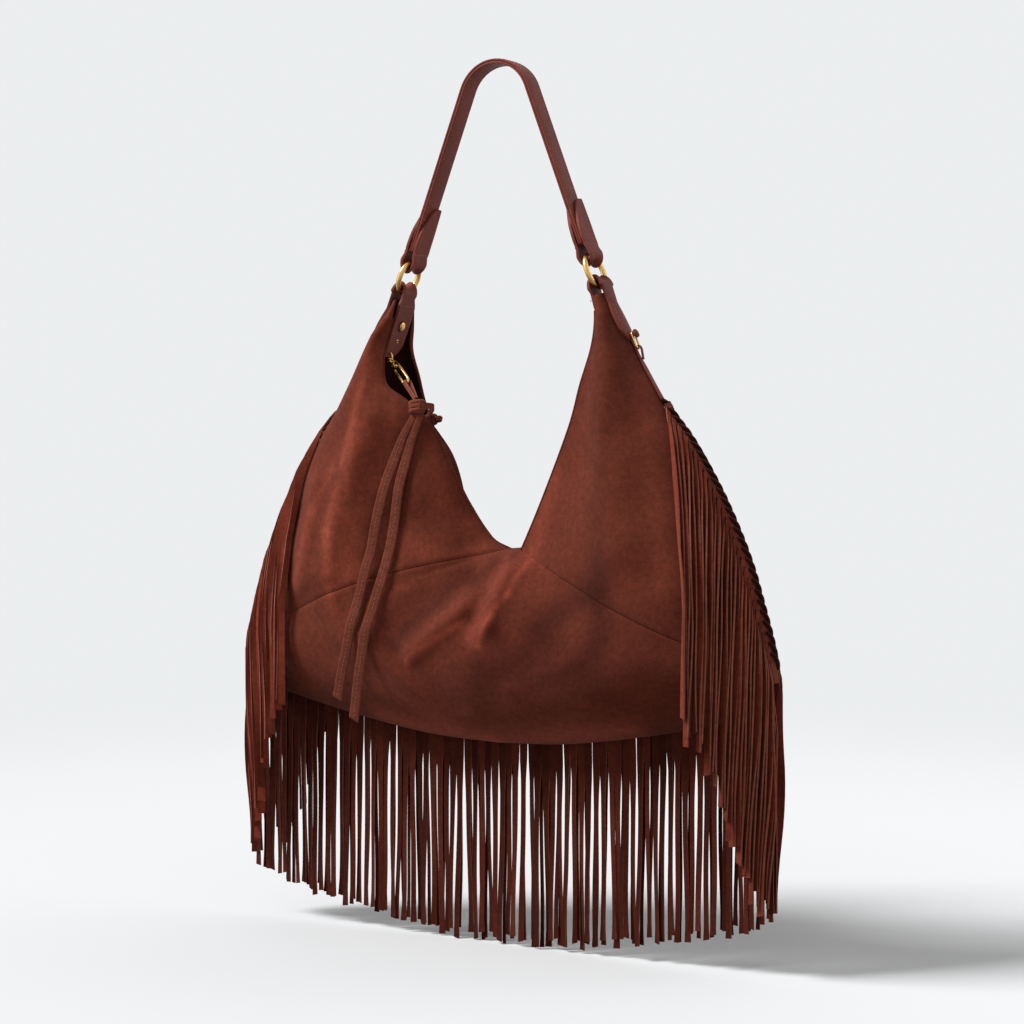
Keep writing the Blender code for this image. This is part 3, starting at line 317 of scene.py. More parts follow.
def makeFinish(name):
    facts = finishes[name]
    material = bpy.data.materials.new(name)
    material.use_nodes = True
    tree = material.node_tree
    inputs = {label: (*shade, 1) for label, shade in zip(("Colour", "Dark", "Light"), facts["shades"])}
    inputs["Vector"] = addNode(tree, "TexCoord", {})["Object"]
    if "scale" in facts:
        inputs["Scale"] = facts["scale"]
    if facts.get("tone"):
        inputs["Tone"] = addNode(tree, "Attribute", {}, attribute_name="tone")["Fac"]
    effect = addNode(tree, "Group", inputs, node_tree=effects[facts["effect"]])
    strength, depth = facts["bump"]
    bump = addNode(tree, "Bump", {"Strength": strength, "Distance": depth * mm, "Height": effect["Height"]})
    setInputs(tree, tree.nodes["Principled BSDF"], {
        "Metallic": facts.get("metal", 0.0), "Sheen Weight": facts.get("sheen", 0.0), "Sheen Roughness": 0.45,
        "Specular IOR Level": facts.get("gloss", 0.06), "Base Color": effect["Colour"],
        "Roughness": effect["Rough"], "Normal": bump["Normal"]})
    return material


made = {name: makeFinish(name) for name in finishes}
# The strands' and thongs' cut edges get the painted highlight
rims = {"leather": "leatherEdge", "strands": "cutEdgeHighlight", "thong": "cutEdgeHighlight"}  # finish of a sheet's cut edge
print("materials are made")


# What lies at share t from b to c, on a smooth curve through a, b, c and d
def between(a, b, c, d, t):
    bend = (a * 2 - b * 5 + c * 4 - d) * t ** 2 + (b * 3 - a - c * 3 + d) * t ** 3
    return (b * 2 + (c - a) * t + bend) * 0.5


# A smooth route through a few points, read by share of its length
class Route:
    def __init__(self, points, fine=12):
        points = [Vector(point) for point in points]
        ends = [points[0] * 2 - points[1]] + points + [points[-1] * 2 - points[-2]]
        self.dense = [points[0].copy()]
        for a, b, c, d in zip(ends, ends[1:], ends[2:], ends[3:]):
            self.dense += [between(a, b, c, d, k / fine) for k in range(1, fine + 1)]
        self.sums = [0.0]
        for a, b in zip(self.dense, self.dense[1:]):
            self.sums.append(self.sums[-1] + (b - a).length)
        self.length = self.sums[-1]

    def at(self, share):
        want = min(max(share, 0.0), 1.0) * self.length
        low = 0
        while low < len(self.sums) - 2 and self.sums[low + 1] < want:
            low += 1
        step = self.sums[low + 1] - self.sums[low]
        return self.dense[low].lerp(self.dense[low + 1], (want - self.sums[low]) / step)

    def along(self, share):
        return (self.at(share + 0.01) - self.at(share - 0.01)).normalized()

    def shareAtHeight(self, z):
        low, high = 0.0, 1.0
        for _ in range(40):
            middle = (low + high) / 2
            low, high = (middle, high) if self.at(middle).z > z else (low, middle)
        return low


def ease(t):
    t = min(max(t, 0.0), 1.0)
    return t * t * (3 - 2 * t)


# Slow uneven waves over the suede, shifted by a seed
def wave(x, z, seed):
    crossed = math.sin(x * 0.11 + seed) * math.sin(z * 0.083 + seed * 2.3)
    return crossed + 0.5 * math.sin(x * 0.05 - z * 0.13 + seed)


# Applies a piece's modifiers
def bakeMesh(piece):
    mesh = bpy.data.meshes.new_from_object(piece.evaluated_get(bpy.context.evaluated_depsgraph_get()))
    piece.modifiers.clear()
    piece.data = mesh
    return mesh


def addPiece(name, data, finish, body, nodes=(), sharp=40):
    piece = bpy.data.objects.new(name, data)
    if not data.materials:
        data.materials.append(made[finish])
    scene.collection.objects.link(piece)
    if isinstance(data, bpy.types.Mesh):
        data.shade_smooth()
        data.set_sharp_from_angle(angle=math.radians(sharp))
    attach(piece, body)
    if nodes:
        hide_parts(*nodes)
    return piece


# Adds a grid of nu by nv cells whose corners are placed by two shares
def addGrid(bm, nu, nv, place, tone=None):
    verts = bmesh.ops.create_grid(bm, x_segments=nu, y_segments=nv, size=0.5)["verts"]
    for vert in verts:
        vert.co = place(vert.co.x + 0.5, vert.co.y + 0.5) * mm
    if tone is not None:
        layer = bm.verts.layers.float["tone"]
        for vert in verts:
            vert[layer] = tone
    return verts


# Gives a sheet its wall, the finish of its cut edge, and rounded edges
def thicken(piece, thick, even, bevel=0.0):
    wall = piece.modifiers.new("wall", "SOLIDIFY")
    wall.thickness = thick * mm
    wall.offset = 0.0
    wall.use_even_offset = even
    rim = rims.get(piece.data.materials[0].name)
    if rim:
        piece.data.materials.append(made[rim])
        wall.material_offset_rim = 1
    if bevel:
        edge = piece.modifiers.new("edge", "BEVEL")
        edge.width = bevel * mm
        edge.segments = 2
        edge.limit_method = "ANGLE"
        edge.angle_limit = math.radians(50)
    mesh = bakeMesh(piece)
    mesh.shade_smooth()
    mesh.set_sharp_from_angle(angle=math.radians(48))
    return piece


def addSheet(name, nu, nv, place, thick, finish, body, nodes=(), bevel=0.0, even=True):
    bm = bmesh.new()
    addGrid(bm, nu, nv, place)
    return thicken(addPiece(name, meshFrom(name, bm), finish, body, nodes), thick, even, bevel)


def addWire(name, paths, radius, finish, body, nodes=(), closed=False, fine=4, swell=None):
    curve = bpy.data.curves.new(name, "CURVE")
    curve.dimensions = "3D"
    curve.bevel_depth = radius * mm
    curve.bevel_resolution = fine
    curve.use_fill_caps = True
    for points in paths:
        line = curve.splines.new("POLY")
        line.points.add(len(points) - 1)
        for index, point in enumerate(points):
            line.points[index].co = (*(point * mm), 1)
            if swell:
                line.points[index].radius = swell(index / (len(points) - 1))
        line.use_cyclic_u = closed
        line.use_smooth = True
    return addPiece(name, curve, finish, body, nodes)


def addTurned(name, profile, place, finish, body, nodes=(), steps=32):
    bm = bmesh.new()
    rows = [bm.verts.new((radius * mm, 0, height * mm)) for radius, height in profile]
    edges = [bm.edges.new(pair) for pair in zip(rows, rows[1:])]
    bmesh.ops.spin(bm, geom=rows + edges, cent=(0, 0, 0), axis=(0, 0, 1), angle=math.tau, steps=steps,
                   use_merge=True)
    bmesh.ops.remove_doubles(bm, verts=bm.verts, dist=1e-6)
    bmesh.ops.recalc_face_normals(bm, faces=bm.faces)
    bmesh.ops.transform(bm, matrix=place, verts=bm.verts)
    return addPiece(name, meshFrom(name, bm), finish, body, nodes)


def frameAt(origin, up, side):
    up = up.normalized()
    side = (side - up * side.dot(up)).normalized()
    return Matrix.Translation(origin * mm) @ Matrix((side, up.cross(side), up)).transposed().to_4x4()


# Short thread stitches laid on a surface: each is (middle, along, up)
def addStitches(name, places, length, thick, body):
    bm = bmesh.new()
    for middle, along, up in places:
        turn = frameAt(middle, up, along)
        size = Matrix.Diagonal((length / 2, thick / 2, thick / 2, 1))
        bmesh.ops.create_uvsphere(bm, u_segments=6, v_segments=4, radius=mm, matrix=turn @ size)
    return addPiece(name, meshFrom(name, bm), "thread", body)


def ring(centre, radius, along, across, steps):
    return [centre + along * radius * math.cos(math.tau * k / steps)
            + across * radius * math.sin(math.tau * k / steps) for k in range(steps)]


# Strap and rings. A leg runs down towards its ring, out is the outward normal of its face
def down(side):
    return Vector((side * math.sin(bag["legLean"]), 0, -math.cos(bag["legLean"])))


def out(side):
    return Vector((side * math.cos(bag["legLean"]), 0, math.sin(bag["legLean"])))


crownMiddle = Vector((0, 0, bag["strapThick"] / 2 - bag["crownRadius"]))


def ringCentre(side):
    return crownMiddle + out(side) * bag["crownRadius"] + down(side) * bag["legLength"]


def legPoint(side, along, across, y=0.0):
    return ringCentre(side) + down(side) * along + out(side) * across + wide * y


strap = {
    "legSteps": 26, "crownSteps": 30, "coreInset": 0.5, "coreThick": 1.0, "coverThick": 1.7,
    "crown": 0.35, "groove": 0.22, "bevel": 0.5, "stitchInset": 2.4, "stitchPitch": 3.2,
    "stitchLength": 2.3, "stitchThick": 0.75, "stitchSink": 0.12,
}


# The strap's middle line and its outward normal, from one end to the other
def strapLine():
    line = []
    steps = strap["legSteps"]
    low, high = -bag["strapEnd"], -bag["legLength"]
    for k in range(steps):
        line.append((legPoint(-1, low, 0).lerp(legPoint(-1, high, 0), k / steps), out(-1)))
    for k in range(strap["crownSteps"] + 1):
        angle = bag["legLean"] + (math.pi - 2 * bag["legLean"]) * k / strap["crownSteps"]
        normal = Vector((-math.cos(angle), 0, math.sin(angle)))
        line.append((crownMiddle + normal * bag["crownRadius"], normal))
    for k in range(1, steps + 1):
        line.append((legPoint(1, high, 0).lerp(legPoint(1, low, 0), k / steps), out(1)))
    return line


# Two leather covers with a thin core between them, crowned a little and stitched along both edges
def makeStrap():
    line = strapLine()
    last = len(line) - 1
    half = bag["strapWidth"] / 2
    away = (bag["strapThick"] - strap["coverThick"]) / 2
    for face, label in ((1, "strap_outer_cover"), (-1, "strap_inner_cover")):
        def place(u, v):
            middle, normal = line[round(u * last)]
            across = 2 * v - 1
            rise = away - strap["crown"] * across ** 2
            groove = math.exp(-((1 - abs(across)) * half - strap["stitchInset"]) ** 2 / 0.5)
            return middle + normal * face * (rise - strap["groove"] * groove) + wide * across * half
        addSheet(label, last, 24, place, strap["coverThick"], "leather", "strap",
                 ("strap",) if face > 0 else (), strap["bevel"])

    def core(u, v):
        return line[round(u * last)][0] + wide * (2 * v - 1) * (half - strap["coreInset"])
    addSheet("strap_core", last, 4, core, strap["coreThick"], "leatherEdge", "strap")
    length = 0.0
    marks = []
    for (a, na), (b, nb) in zip(line, line[1:]):
        step = (b - a).length
        while length < step:
            share = length / step
            marks.append((a.lerp(b, share), (b - a).normalized(), na.lerp(nb, share).normalized()))
            length += strap["stitchPitch"]
        length -= step
    places = []
    lift = bag["strapThick"] / 2 - strap["crown"] * 0.55 - strap["stitchSink"]
    for middle, along, normal in marks:
        for face in (1, -1):
            for edge in (1, -1):
                spot = middle + wide * edge * (half - strap["stitchInset"])
                places.append((spot + normal * face * lift, along, normal * face))
    addStitches("strap_stitches", places, strap["stitchLength"], strap["stitchThick"], "strap")


def makeRing(side, label):
    node = "ring_" + label
    circle = ring(ringCentre(side), bag["ringRadius"], down(side), wide, 72)
    addWire(node + "_wire", [circle], bag["ringWire"], "brass", node, (node,), closed=True, fine=8)


# Folded leather tabs. The saddle is the outer tongue that lies over the side seam
tab = {
    "width": 20.0, "knuckle": 15.0, "tipSkew": 0.8, "strapReach": 56.0, "tongueWidth": {-1: 22.0, 1: 14.0},
    "tongueShape": ((0.0, 1.0), (0.25, 1.0), (0.5, 1.0), (0.75, 0.95), (0.88, 0.8), (0.96, 0.62),
                    (1.0, 0.42)),
    "tongueReach": 62.0, "tongueLift": 0.8, "saddleStart": 0.03, "saddleReach": {-1: 24.0, 1: 31.0},
    "saddleSteps": 16, "saddleSpread": (0.16, 0.16, 0.14, 0.115, 0.085, 0.035), "rivetDrop": 37.0,
    "eyeletDrop": 49.0, "ringPlay": 2.2, "foldSteps": 16, "bevel": 0.55, "stitchInset": 2.0,
    "stitchPitch": 2.9, "stitchLength": 2.3, "stitchThick": 0.85, "stitchSink": 0.1,
}


def ringSag(y):
    return foldRadius - math.sqrt(foldRadius ** 2 - y ** 2)


# Rows of a leather fold round a ring: along, across, half width, and how much it follows the wire
def knuckleRows(toward):
    halfAcross = bag["ringWire"] + tab["ringPlay"] + halfLeather
    steps = tab["foldSteps"]
    rows = []
    for k in range(steps + 1):
        angle = math.pi * k / steps
        along = bag["ringRadius"] - (bag["ringRadius"] - foldRadius) * math.sin(angle)
        half = tab["knuckle"] / 2 + 1.6 * (1 - math.sin(angle))
        rows.append((toward * along, halfAcross * math.cos(angle), half, math.sin(angle)))
    return rows


def foldPoint(side, row, v, toward):
    along, across, half, follow = row
    y = (2 * v - 1) * half
    return legPoint(side, along - toward * ringSag(min(abs(y), tab["knuckle"] / 2)) * follow, across, y)


# Rows of numbers with smooth rows added between them
def smoothRows(rows, fine):
    smooth = []
    for a, b, c, d in zip([rows[0]] + rows[:-2], rows[:-1], rows[1:], rows[2:] + [rows[-1]]):
        for k in range(fine):
            smooth.append(tuple(between(*column, k / fine) for column in zip(a, b, c, d)))
    smooth.append(rows[-1])
    return smooth


# The suede body: a side seam as shares of half width and height, the mouth's edges as (across, down, out).
# A side is -1 for the left half and 1 for the right one
body = {
    "side": [(0.486, 0.106), (0.612, 0.248), (0.700, 0.325), (0.804, 0.441), (0.891, 0.568),
             (0.942, 0.674), (0.977, 0.758), (0.996, 0.834), (0.969, 0.889), (0.867, 0.915),
             (0.578, 0.958), (0.267, 0.991), (0.0, 1.0)],
    "mouthRight": [(86.8, 16.0, 10.6), (86.4, 38.0, 14.0), (79.0, 66.0, 17.5), (68.9, 97.0, 16.0),
                   (44.8, 148.0, 11.0), (25.3, 184.5, 6.5)],
    "mouthFrontLeft": [(87.0, 16.0, 15.5), (92.6, 40.0, 18.0), (87.4, 64.0, 24.0), (69.4, 77.0, 24.0),
                       (52.0, 93.0, 20.0), (35.0, 127.0, 14.6), (20.8, 157.0, 9.0), (5.5, 179.4, 5.5)],
    "mouthBackLeft": [(87.0, 16.0, 15.5), (90.0, 36.0, 18.0), (87.5, 58.0, 25.0), (82.0, 78.0, 25.0),
                      (70.0, 101.0, 21.0), (54.0, 129.0, 15.5), (36.0, 150.0, 9.5), (12.0, 179.4, 6.0)],
    "mouthLow": {-1: (-7.0, 189.0, 5.2), 1: (22.0, 188.0, 5.8)}, "mouthPlay": 1.6, "mouthThread": (4.4, 0.9),
    "hornBulge": 4.0, "hornSwell": {-1: 12.0, 1: 8.0}, "wingBulge": 44.0, "bellyBulge": 50.0,
    "sideSlope": {-1: 0.7, 1: 1.1}, "bellySlope": 0.7, "seamHalf": (1.1, 1.8), "bow": {-1: 12.0, 1: 2.0},
    "piping": 1.2, "pipingSet": 1.15, "mouthStitch": 8.0,
    "mouthStitched": (-50.0, -24.0), "yokeGap": 0.2, "yokeDip": 0.55, "yokeDipWidth": 2.0,
    "turningHalf": 3.0, "turningThick": 0.8, "turningDepth": 1.1, "waves": 0.55, "edgeBevel": 0.4,
    "wingCells": (84, 64), "baseCells": (150, 72),
}
# Soft folds, False for the front and True for the back. Each is a ridge line: its two ends as
# (across, down from the horns), its width and its height
folds = {
    False: [((-92, 90), (-128, 205), 13, 5.0), ((-138, 140), (-149, 215), 10, 3.5),
            ((-62, 110), (-85, 195), 14, -4.0), ((100, 60), (118, 185), 15, 3.5),
            ((132, 95), (150, 200), 13, -3.0), ((-10, 208), (-62, 244), 16, -7.0),
            ((-4, 231), (-46, 264), 9, 4.5), ((25, 198), (22, 242), 11, 6.0),
            ((-84, 262), (-26, 312), 11, 3.0), ((-150, 235), (-122, 270), 13, -3.5),
            ((75, 235), (60, 280), 20, -3.0)],
    True: [((-95, 100), (-130, 210), 16, 4.0), ((95, 90), (125, 200), 16, 4.0),
           ((0, 205), (-50, 265), 14, -5.0), ((20, 205), (75, 262), 14, 4.5)],
}
# Small creases, in the same form
creases = {
    False: [((-98, 60), (-104, 150), 5, 1.2), ((-115, 140), (-120, 226), 6, 1.0),
            ((-117, 216), (-104, 238), 5, -1.4), ((-2, 228), (-48, 266), 5, 0.9),
            ((24, 200), (24, 238), 5, 2.2), ((22, 240), (8, 254), 5, 1.8),
            ((-70, 258), (-14, 304), 9, -2.2), ((14, 206), (2, 240), 7, -2.6),
            ((-96, 250), (-60, 258), 7, 1.6), ((108, 30), (104, 120), 7, 1.3),
            ((92, 262), (40, 286), 8, 1.2), ((-76, 62), (-82, 130), 6, -0.8)],
    True: [((-100, 60), (-110, 160), 7, 1.5), ((100, 60), (108, 160), 7, 1.4),
           ((-4, 198), (-40, 244), 6, 1.6), ((18, 200), (52, 246), 6, -1.4)],
}
# Painted light on the suede, as line ends, width and change of tone: lighter strokes are painted highlights
# along ridges and the bottom rim, darker strokes are painted shade in fold valleys, low on the belly and on
# the right wing
paintedLight = {
    False: [((-101, 62), (-112, 124), 4, 0.34), ((-123, 128), (-139, 160), 4, 0.36),
            ((-139, 160), (-156, 218), 5, 0.34), ((-114, 142), (-122, 176), 4, 0.40),
            ((-122, 176), (-120, 232), 5, 0.55), ((-112, 160), (-114, 215), 7, 0.36),
            ((-96, 40), (-88, 60), 10, 0.40), ((-80, 84), (-83, 140), 8, 0.28),
            ((-98, 95), (-104, 205), 9, 0.42),
            ((-45, 108), (-36, 152), 7, 0.30), ((-74, 176), (-42, 190), 9, 0.26),
            ((-16, 168), (-6, 186), 8, 0.35), ((-24, 184), (-8, 176), 6, -0.16),
            ((-12, 208), (-62, 256), 10, -0.38), ((20, 200), (-14, 220), 6, 0.10),
            ((8, 197), (-2, 212), 6, -0.30), ((33, 197), (31, 218), 2.4, 0.55),
            ((31, 218), (13, 255), 2.4, 0.65), ((13, 255), (7, 256), 3, 0.30),
            ((-2, 239), (-50, 271), 2.8, 0.90), ((30, 200), (8, 250), 9, 0.25),
            ((-96, 284), (-20, 318), 8, 0.35), ((-118, 262), (-66, 300), 7, -0.12),
            ((-90, 318), (0, 334), 10, 0.95), ((0, 334), (120, 318), 11, 0.80),
            ((12, 276), (100, 266), 20, -0.26), ((62, 240), (96, 214), 16, -0.38),
            ((98, 20), (110, 245), 12, -0.20), ((108, 190), (114, 245), 12, -0.12),
            ((134, 236), (158, 246), 14, -0.16), ((54, 130), (36, 188), 8, 0.45),
            ((124, 60), (134, 96), 6, 0.20), ((-160, 262), (-150, 300), 9, 0.20)],
    True: [((-90, 60), (-130, 220), 12, 0.20), ((95, 50), (128, 210), 12, 0.22),
           ((-60, 250), (70, 262), 24, -0.25), ((10, 200), (46, 250), 5, 0.5),
           ((-8, 204), (-50, 262), 5, 0.5), ((-110, 316), (110, 320), 9, 0.4)],
}
hornTop = legPoint(1, bag["hornStart"], 0).z


def sideRoute(side):
    points = [legPoint(side, bag["hornStart"], bag["hornHalf"])]
    for across, fall in body["side"]:
        points.append(Vector((side * across * bag["halfWidth"], 0, hornTop - fall * bag["bodyHeight"])))
    return Route(points)


def mouthRoute(side, back):
    ySign = 1 if back else -1
    shape = body["mouthRight"] if side > 0 else body["mouthBackLeft" if back else "mouthFrontLeft"]
    start = ySign * (tab["tongueWidth"][side] / 2 + body["mouthPlay"])
    points = [legPoint(side, bag["hornStart"], -bag["hornHalf"], start)]
    for across, fall, gap in shape + [body["mouthLow"][side]]:
        points.append(Vector((side * across, ySign * gap, hornTop - fall)))
    return Route(points)


sides = {side: sideRoute(side) for side in (-1, 1)}
mouths = {(side, back): mouthRoute(side, back) for side in (-1, 1) for back in (False, True)}


# Where a side seam has come down by a share of the body's height
def seamShare(side, fall):
    return sides[side].shareAtHeight(hornTop - fall * bag["bodyHeight"])


yoke = {side: seamShare(side, bag["yokeDrop"]) for side in (-1, 1)}


def foldHeight(x, z, ridges):
    total = 0.0
    for start, end, width, height in ridges:
        a = Vector((start[0], hornTop - start[1]))
        run = Vector((end[0], hornTop - end[1])) - a
        share = (Vector((x, z)) - a).dot(run) / run.length_squared
        off = (Vector((x, z)) - a - run * min(max(share, 0.0), 1.0)).length
        over = max(0.0, -share, share - 1)
        total += height * math.exp(-(off / width) ** 2) * math.exp(-(over * 2) ** 2)
    return total


# Ends of a panel's line at share u: on the outer seam and on the mouth, with its bulge and its bow
def panelEdges(part, back, u):
    if part == "base":
        half = sides[-1].length * (1 - yoke[-1])
        t = -half + 2 * half * u
        side = -1 if t < 0 else 1
        low = sides[side].at(1 - abs(t) / sides[side].length)
        high = mouths[(-1, back)].at(1.0).lerp(mouths[(1, back)].at(1.0), u)
        bulge = body["wingBulge"] + (body["bellyBulge"] - body["wingBulge"]) * math.sin(math.pi * u)
        return low, high, bulge, body["bow"][-1] * (1 - ease(u)) + body["bow"][1] * ease(u)
    low = sides[part].at(u * yoke[part])
    high = mouths[(part, back)].at(u)
    bulge = body["hornBulge"] + body["hornSwell"][part] * ease(u / 0.12)
    bulge += (body["wingBulge"] - body["hornBulge"] - body["hornSwell"][part]) * ease(u ** 0.9)
    return low, high, bulge, body["bow"][part] * u ** 2


# Middle of the suede at shares u along a panel and v from the outer seam to the mouth
def suedePoint(part, back, u, v, fine=False):
    low, high, bulge, bow = panelEdges(part, back, u)
    spot = low.lerp(high, v)
    spot.z += bow * math.sin(math.pi * v)
    fullness = body["sideSlope"][part] if part != "base" else body["sideSlope"][-1 if u < 0.5 else 1]
    if part == "base":
        fullness += (body["bellySlope"] - fullness) * ease(2.5 * min(u, 1 - u))
    swell = math.sin(math.pi * v ** 0.8) ** fullness if 0 < v < 1 else 0.0
    depth = abs(high.y) * v ** 1.3 + bulge * swell
    window = min(1.0, 3 * v) * min(1.0, 5 * (1 - v))
    depth += foldHeight(spot.x, spot.z, folds[back]) * window
    if fine:
        soft = min(1.0, 6 * v) * min(1.0, 8 * (1 - v))
        depth += foldHeight(spot.x, spot.z, creases[back]) * soft
        depth += body["waves"] * wave(spot.x, spot.z, 1.7 if back else 0.4) * soft
    narrow, seam = body["seamHalf"]
    if part != "base":
        seam = narrow + (seam - narrow) * ease(5 * u - 4)
    spot.y = (1 if back else -1) * (seam * (1 - v) + depth)
    return spot


# The same point lifted off the suede's outer face, with the face's normal
def skinFrame(part, back, u, v, lift):
    nudge = 0.01
    here = suedePoint(part, back, u, v)
    along = suedePoint(part, back, min(u + nudge, 1), v) - suedePoint(part, back, max(u - nudge, 0), v)
    across = suedePoint(part, back, u, min(v + nudge, 1)) - suedePoint(part, back, u, max(v - nudge, 0))
    normal = along.cross(across).normalized()
    if normal.dot(here - Vector((0, 0, here.z))) < 0:
        normal = -normal
    return here + normal * (bag["suede"] / 2 + lift), normal


# A point on a side seam with the directions along it and away from the bag
def seamFrame(side, share):
    along = sides[side].along(share)
    lift = wide.cross(along)
    return sides[side].at(share), along, lift if lift.x * side > 0 else -lift


# Shares packed closely at the yoke seam, where the suede is turned in
def yokeShares(cells, both):
    shares = []
    for k in range(cells + 1):
        t = k / cells
        shares.append(t - 0.45 * math.sin(math.tau * t) / math.tau if both else 1 - (1 - t) ** 1.35)
    return shares


# A panel of suede, brushed outside and toned with painted light, with its inner face painted darker as
# painted shade inside the bag, and its edges dipped at the yoke seam
def makePanel(name, part, back):
    nu, nv = body["baseCells"] if part == "base" else body["wingCells"]
    shares = yokeShares(nu, part == "base")
    rim = sides[-1].length * (1 - yoke[-1]) * 2 if part == "base" else sides[-1].length * yoke[part]
    top = (mouths[(1, back)].at(1) - mouths[(-1, back)].at(1)).length
    if part != "base":
        top = mouths[(part, back)].length
    node = name.replace("_suede", "")

    def place(u, v):
        u = shares[round(u * nu)]
        inset = body["yokeGap"] / 2 * ((1 - v) / rim + v / top)
        u = inset + u * (1 - 2 * inset) if part == "base" else u * (1 - inset)
        spot = suedePoint(part, back, u, v, True)
        reach = rim * (1 - v) + top * v
        off = (min(u, 1 - u) if part == "base" else 1 - u) * reach
        dip = body["yokeDip"] * math.exp(-(off / body["yokeDipWidth"]) ** 2) * min(1.0, 4 * v)
        spot.y -= math.copysign(dip, spot.y)
        return spot
    panel = addSheet(name, nu, nv, place, bag["suede"], "suede", "bag", (node,), body["edgeBevel"])
    # Each vertex's tone is 0.5 plus the painted highlights and painted shade of the strokes
    tones = panel.data.attributes.new("tone", "FLOAT", "POINT").data
    for tone, vert in zip(tones, panel.data.vertices):
        tone.value = 0.5 + foldHeight(vert.co.x / mm, vert.co.z / mm, paintedLight[back])
    # Inner faces take the dark finish, painted shade
    panel.data.materials.append(made["suedeInside"])
    for face in panel.data.polygons:
        if face.normal.y * face.center.y < -1e-4:
            face.material_index = 1


# Suede turned in behind a yoke seam, so that no light comes through it
def makeTurning(name, side, back):
    def place(u, v):
        v = 0.06 + 0.91 * v
        spot = suedePoint(side, back, 1.0, v)
        across = (suedePoint(side, back, 0.97, v) - spot).normalized()
        inward = across.cross(suedePoint(side, back, 1.0, v + 0.02) - spot).normalized()
        inward *= math.copysign(bag["suede"] / 2 + body["turningDepth"], -inward.y * spot.y)
        return spot + across * (2 * u - 1) * body["turningHalf"] + inward
    # The turning takes the same dark finish, painted shade
    addSheet(name, 2, 60, place, body["turningThick"], "suedeInside", "bag")


def makeBody():
    for back, face in ((False, "front"), (True, "back")):
        makePanel(face + "_left_wing_suede", -1, back)
        makePanel(face + "_right_wing_suede", 1, back)
        makePanel(face + "_base_panel_suede", "base", back)
        makeTurning(face + "_left_yoke_turning", -1, back)
        makeTurning(face + "_right_yoke_turning", 1, back)


# Rolled suede edge of the mouth, with a row of thread beside it
def makePiping(back, node):
    steps = 60
    edge, inward = [], []
    for part, shares in ((-1, range(steps)), ("base", (0.0, 0.5)), (1, range(steps + 1))):
        for k in shares:
            u = k if part == "base" else k / steps
            u = max(1 - u if part == 1 else u, 0.055)
            edge.append(suedePoint(part, back, u, 1.0))
            inward.append(edge[-1] - suedePoint(part, back, u, 0.94))
    points, marks = [], []
    for k, spot in enumerate(edge):
        tangent = (edge[min(k + 1, len(edge) - 1)] - edge[max(k - 1, 0)]).normalized()
        away = (inward[k] - tangent * inward[k].dot(tangent)).normalized()
        points.append(spot + away * body["pipingSet"])
        marks.append((points[-1] + away * body["piping"] * 0.7 + wide * (0.8 if back else -0.8), away))
    last = len(points) - 1
    addWire(node + "_roll", [points], body["piping"], "suedeRoll", "bag", (node,),
            swell=lambda t: min(1.0, 0.45 + 6 * min(t, 1 - t)))
    route = Route([mark[0] for mark in marks], 2)
    places = []
    for k in range(1, int(route.length / body["mouthStitch"])):
        share = k * body["mouthStitch"] / route.length
        spot = route.at(share)
        if body["mouthStitched"][0] < spot.x < body["mouthStitched"][1]:
            places.append((spot, route.along(share), marks[round(share * last)][1]))
    addStitches(node + "_stitches", places, *body["mouthThread"], "bag")


panels = {}


# Keeps the front's and the back's suede, so that what hangs on them can be laid clear of it
def rememberPanels():
    for back, face in ((False, "front"), (True, "back")):
        verts, polygons = [], []
        for panel in ("left_wing", "right_wing", "base_panel"):
            mesh = bpy.data.objects[face + "_" + panel + "_suede"].data
            start = len(verts)
            verts += [vert.co / mm for vert in mesh.vertices]
            polygons += [[start + index for index in polygon.vertices] for polygon in mesh.polygons]
        panels[back] = BVHTree.FromPolygons(verts, polygons)


# How far the suede stands out from the middle, at its most within a reach to either side
def depthAt(x, z, back, reach):
    ySign = 1 if back else -1
    depth = 0.0
    for shift in (-reach, 0.0, reach):
        hit = panels[back].ray_cast(Vector((x + shift, ySign * 400, z)), Vector((0, -ySign, 0)))[0]
        if hit:
            depth = max(depth, abs(hit.y))
    return depth


# The same point, moved until it has room to the suede
def clearOfSuede(spot, back, room):
    for _ in range(8):
        near, _, _, gap = panels[back].find_nearest(spot)
        if gap >= room:
            break
        spot = spot + (spot - near).normalized() * (room - gap + 0.3)
    return spot


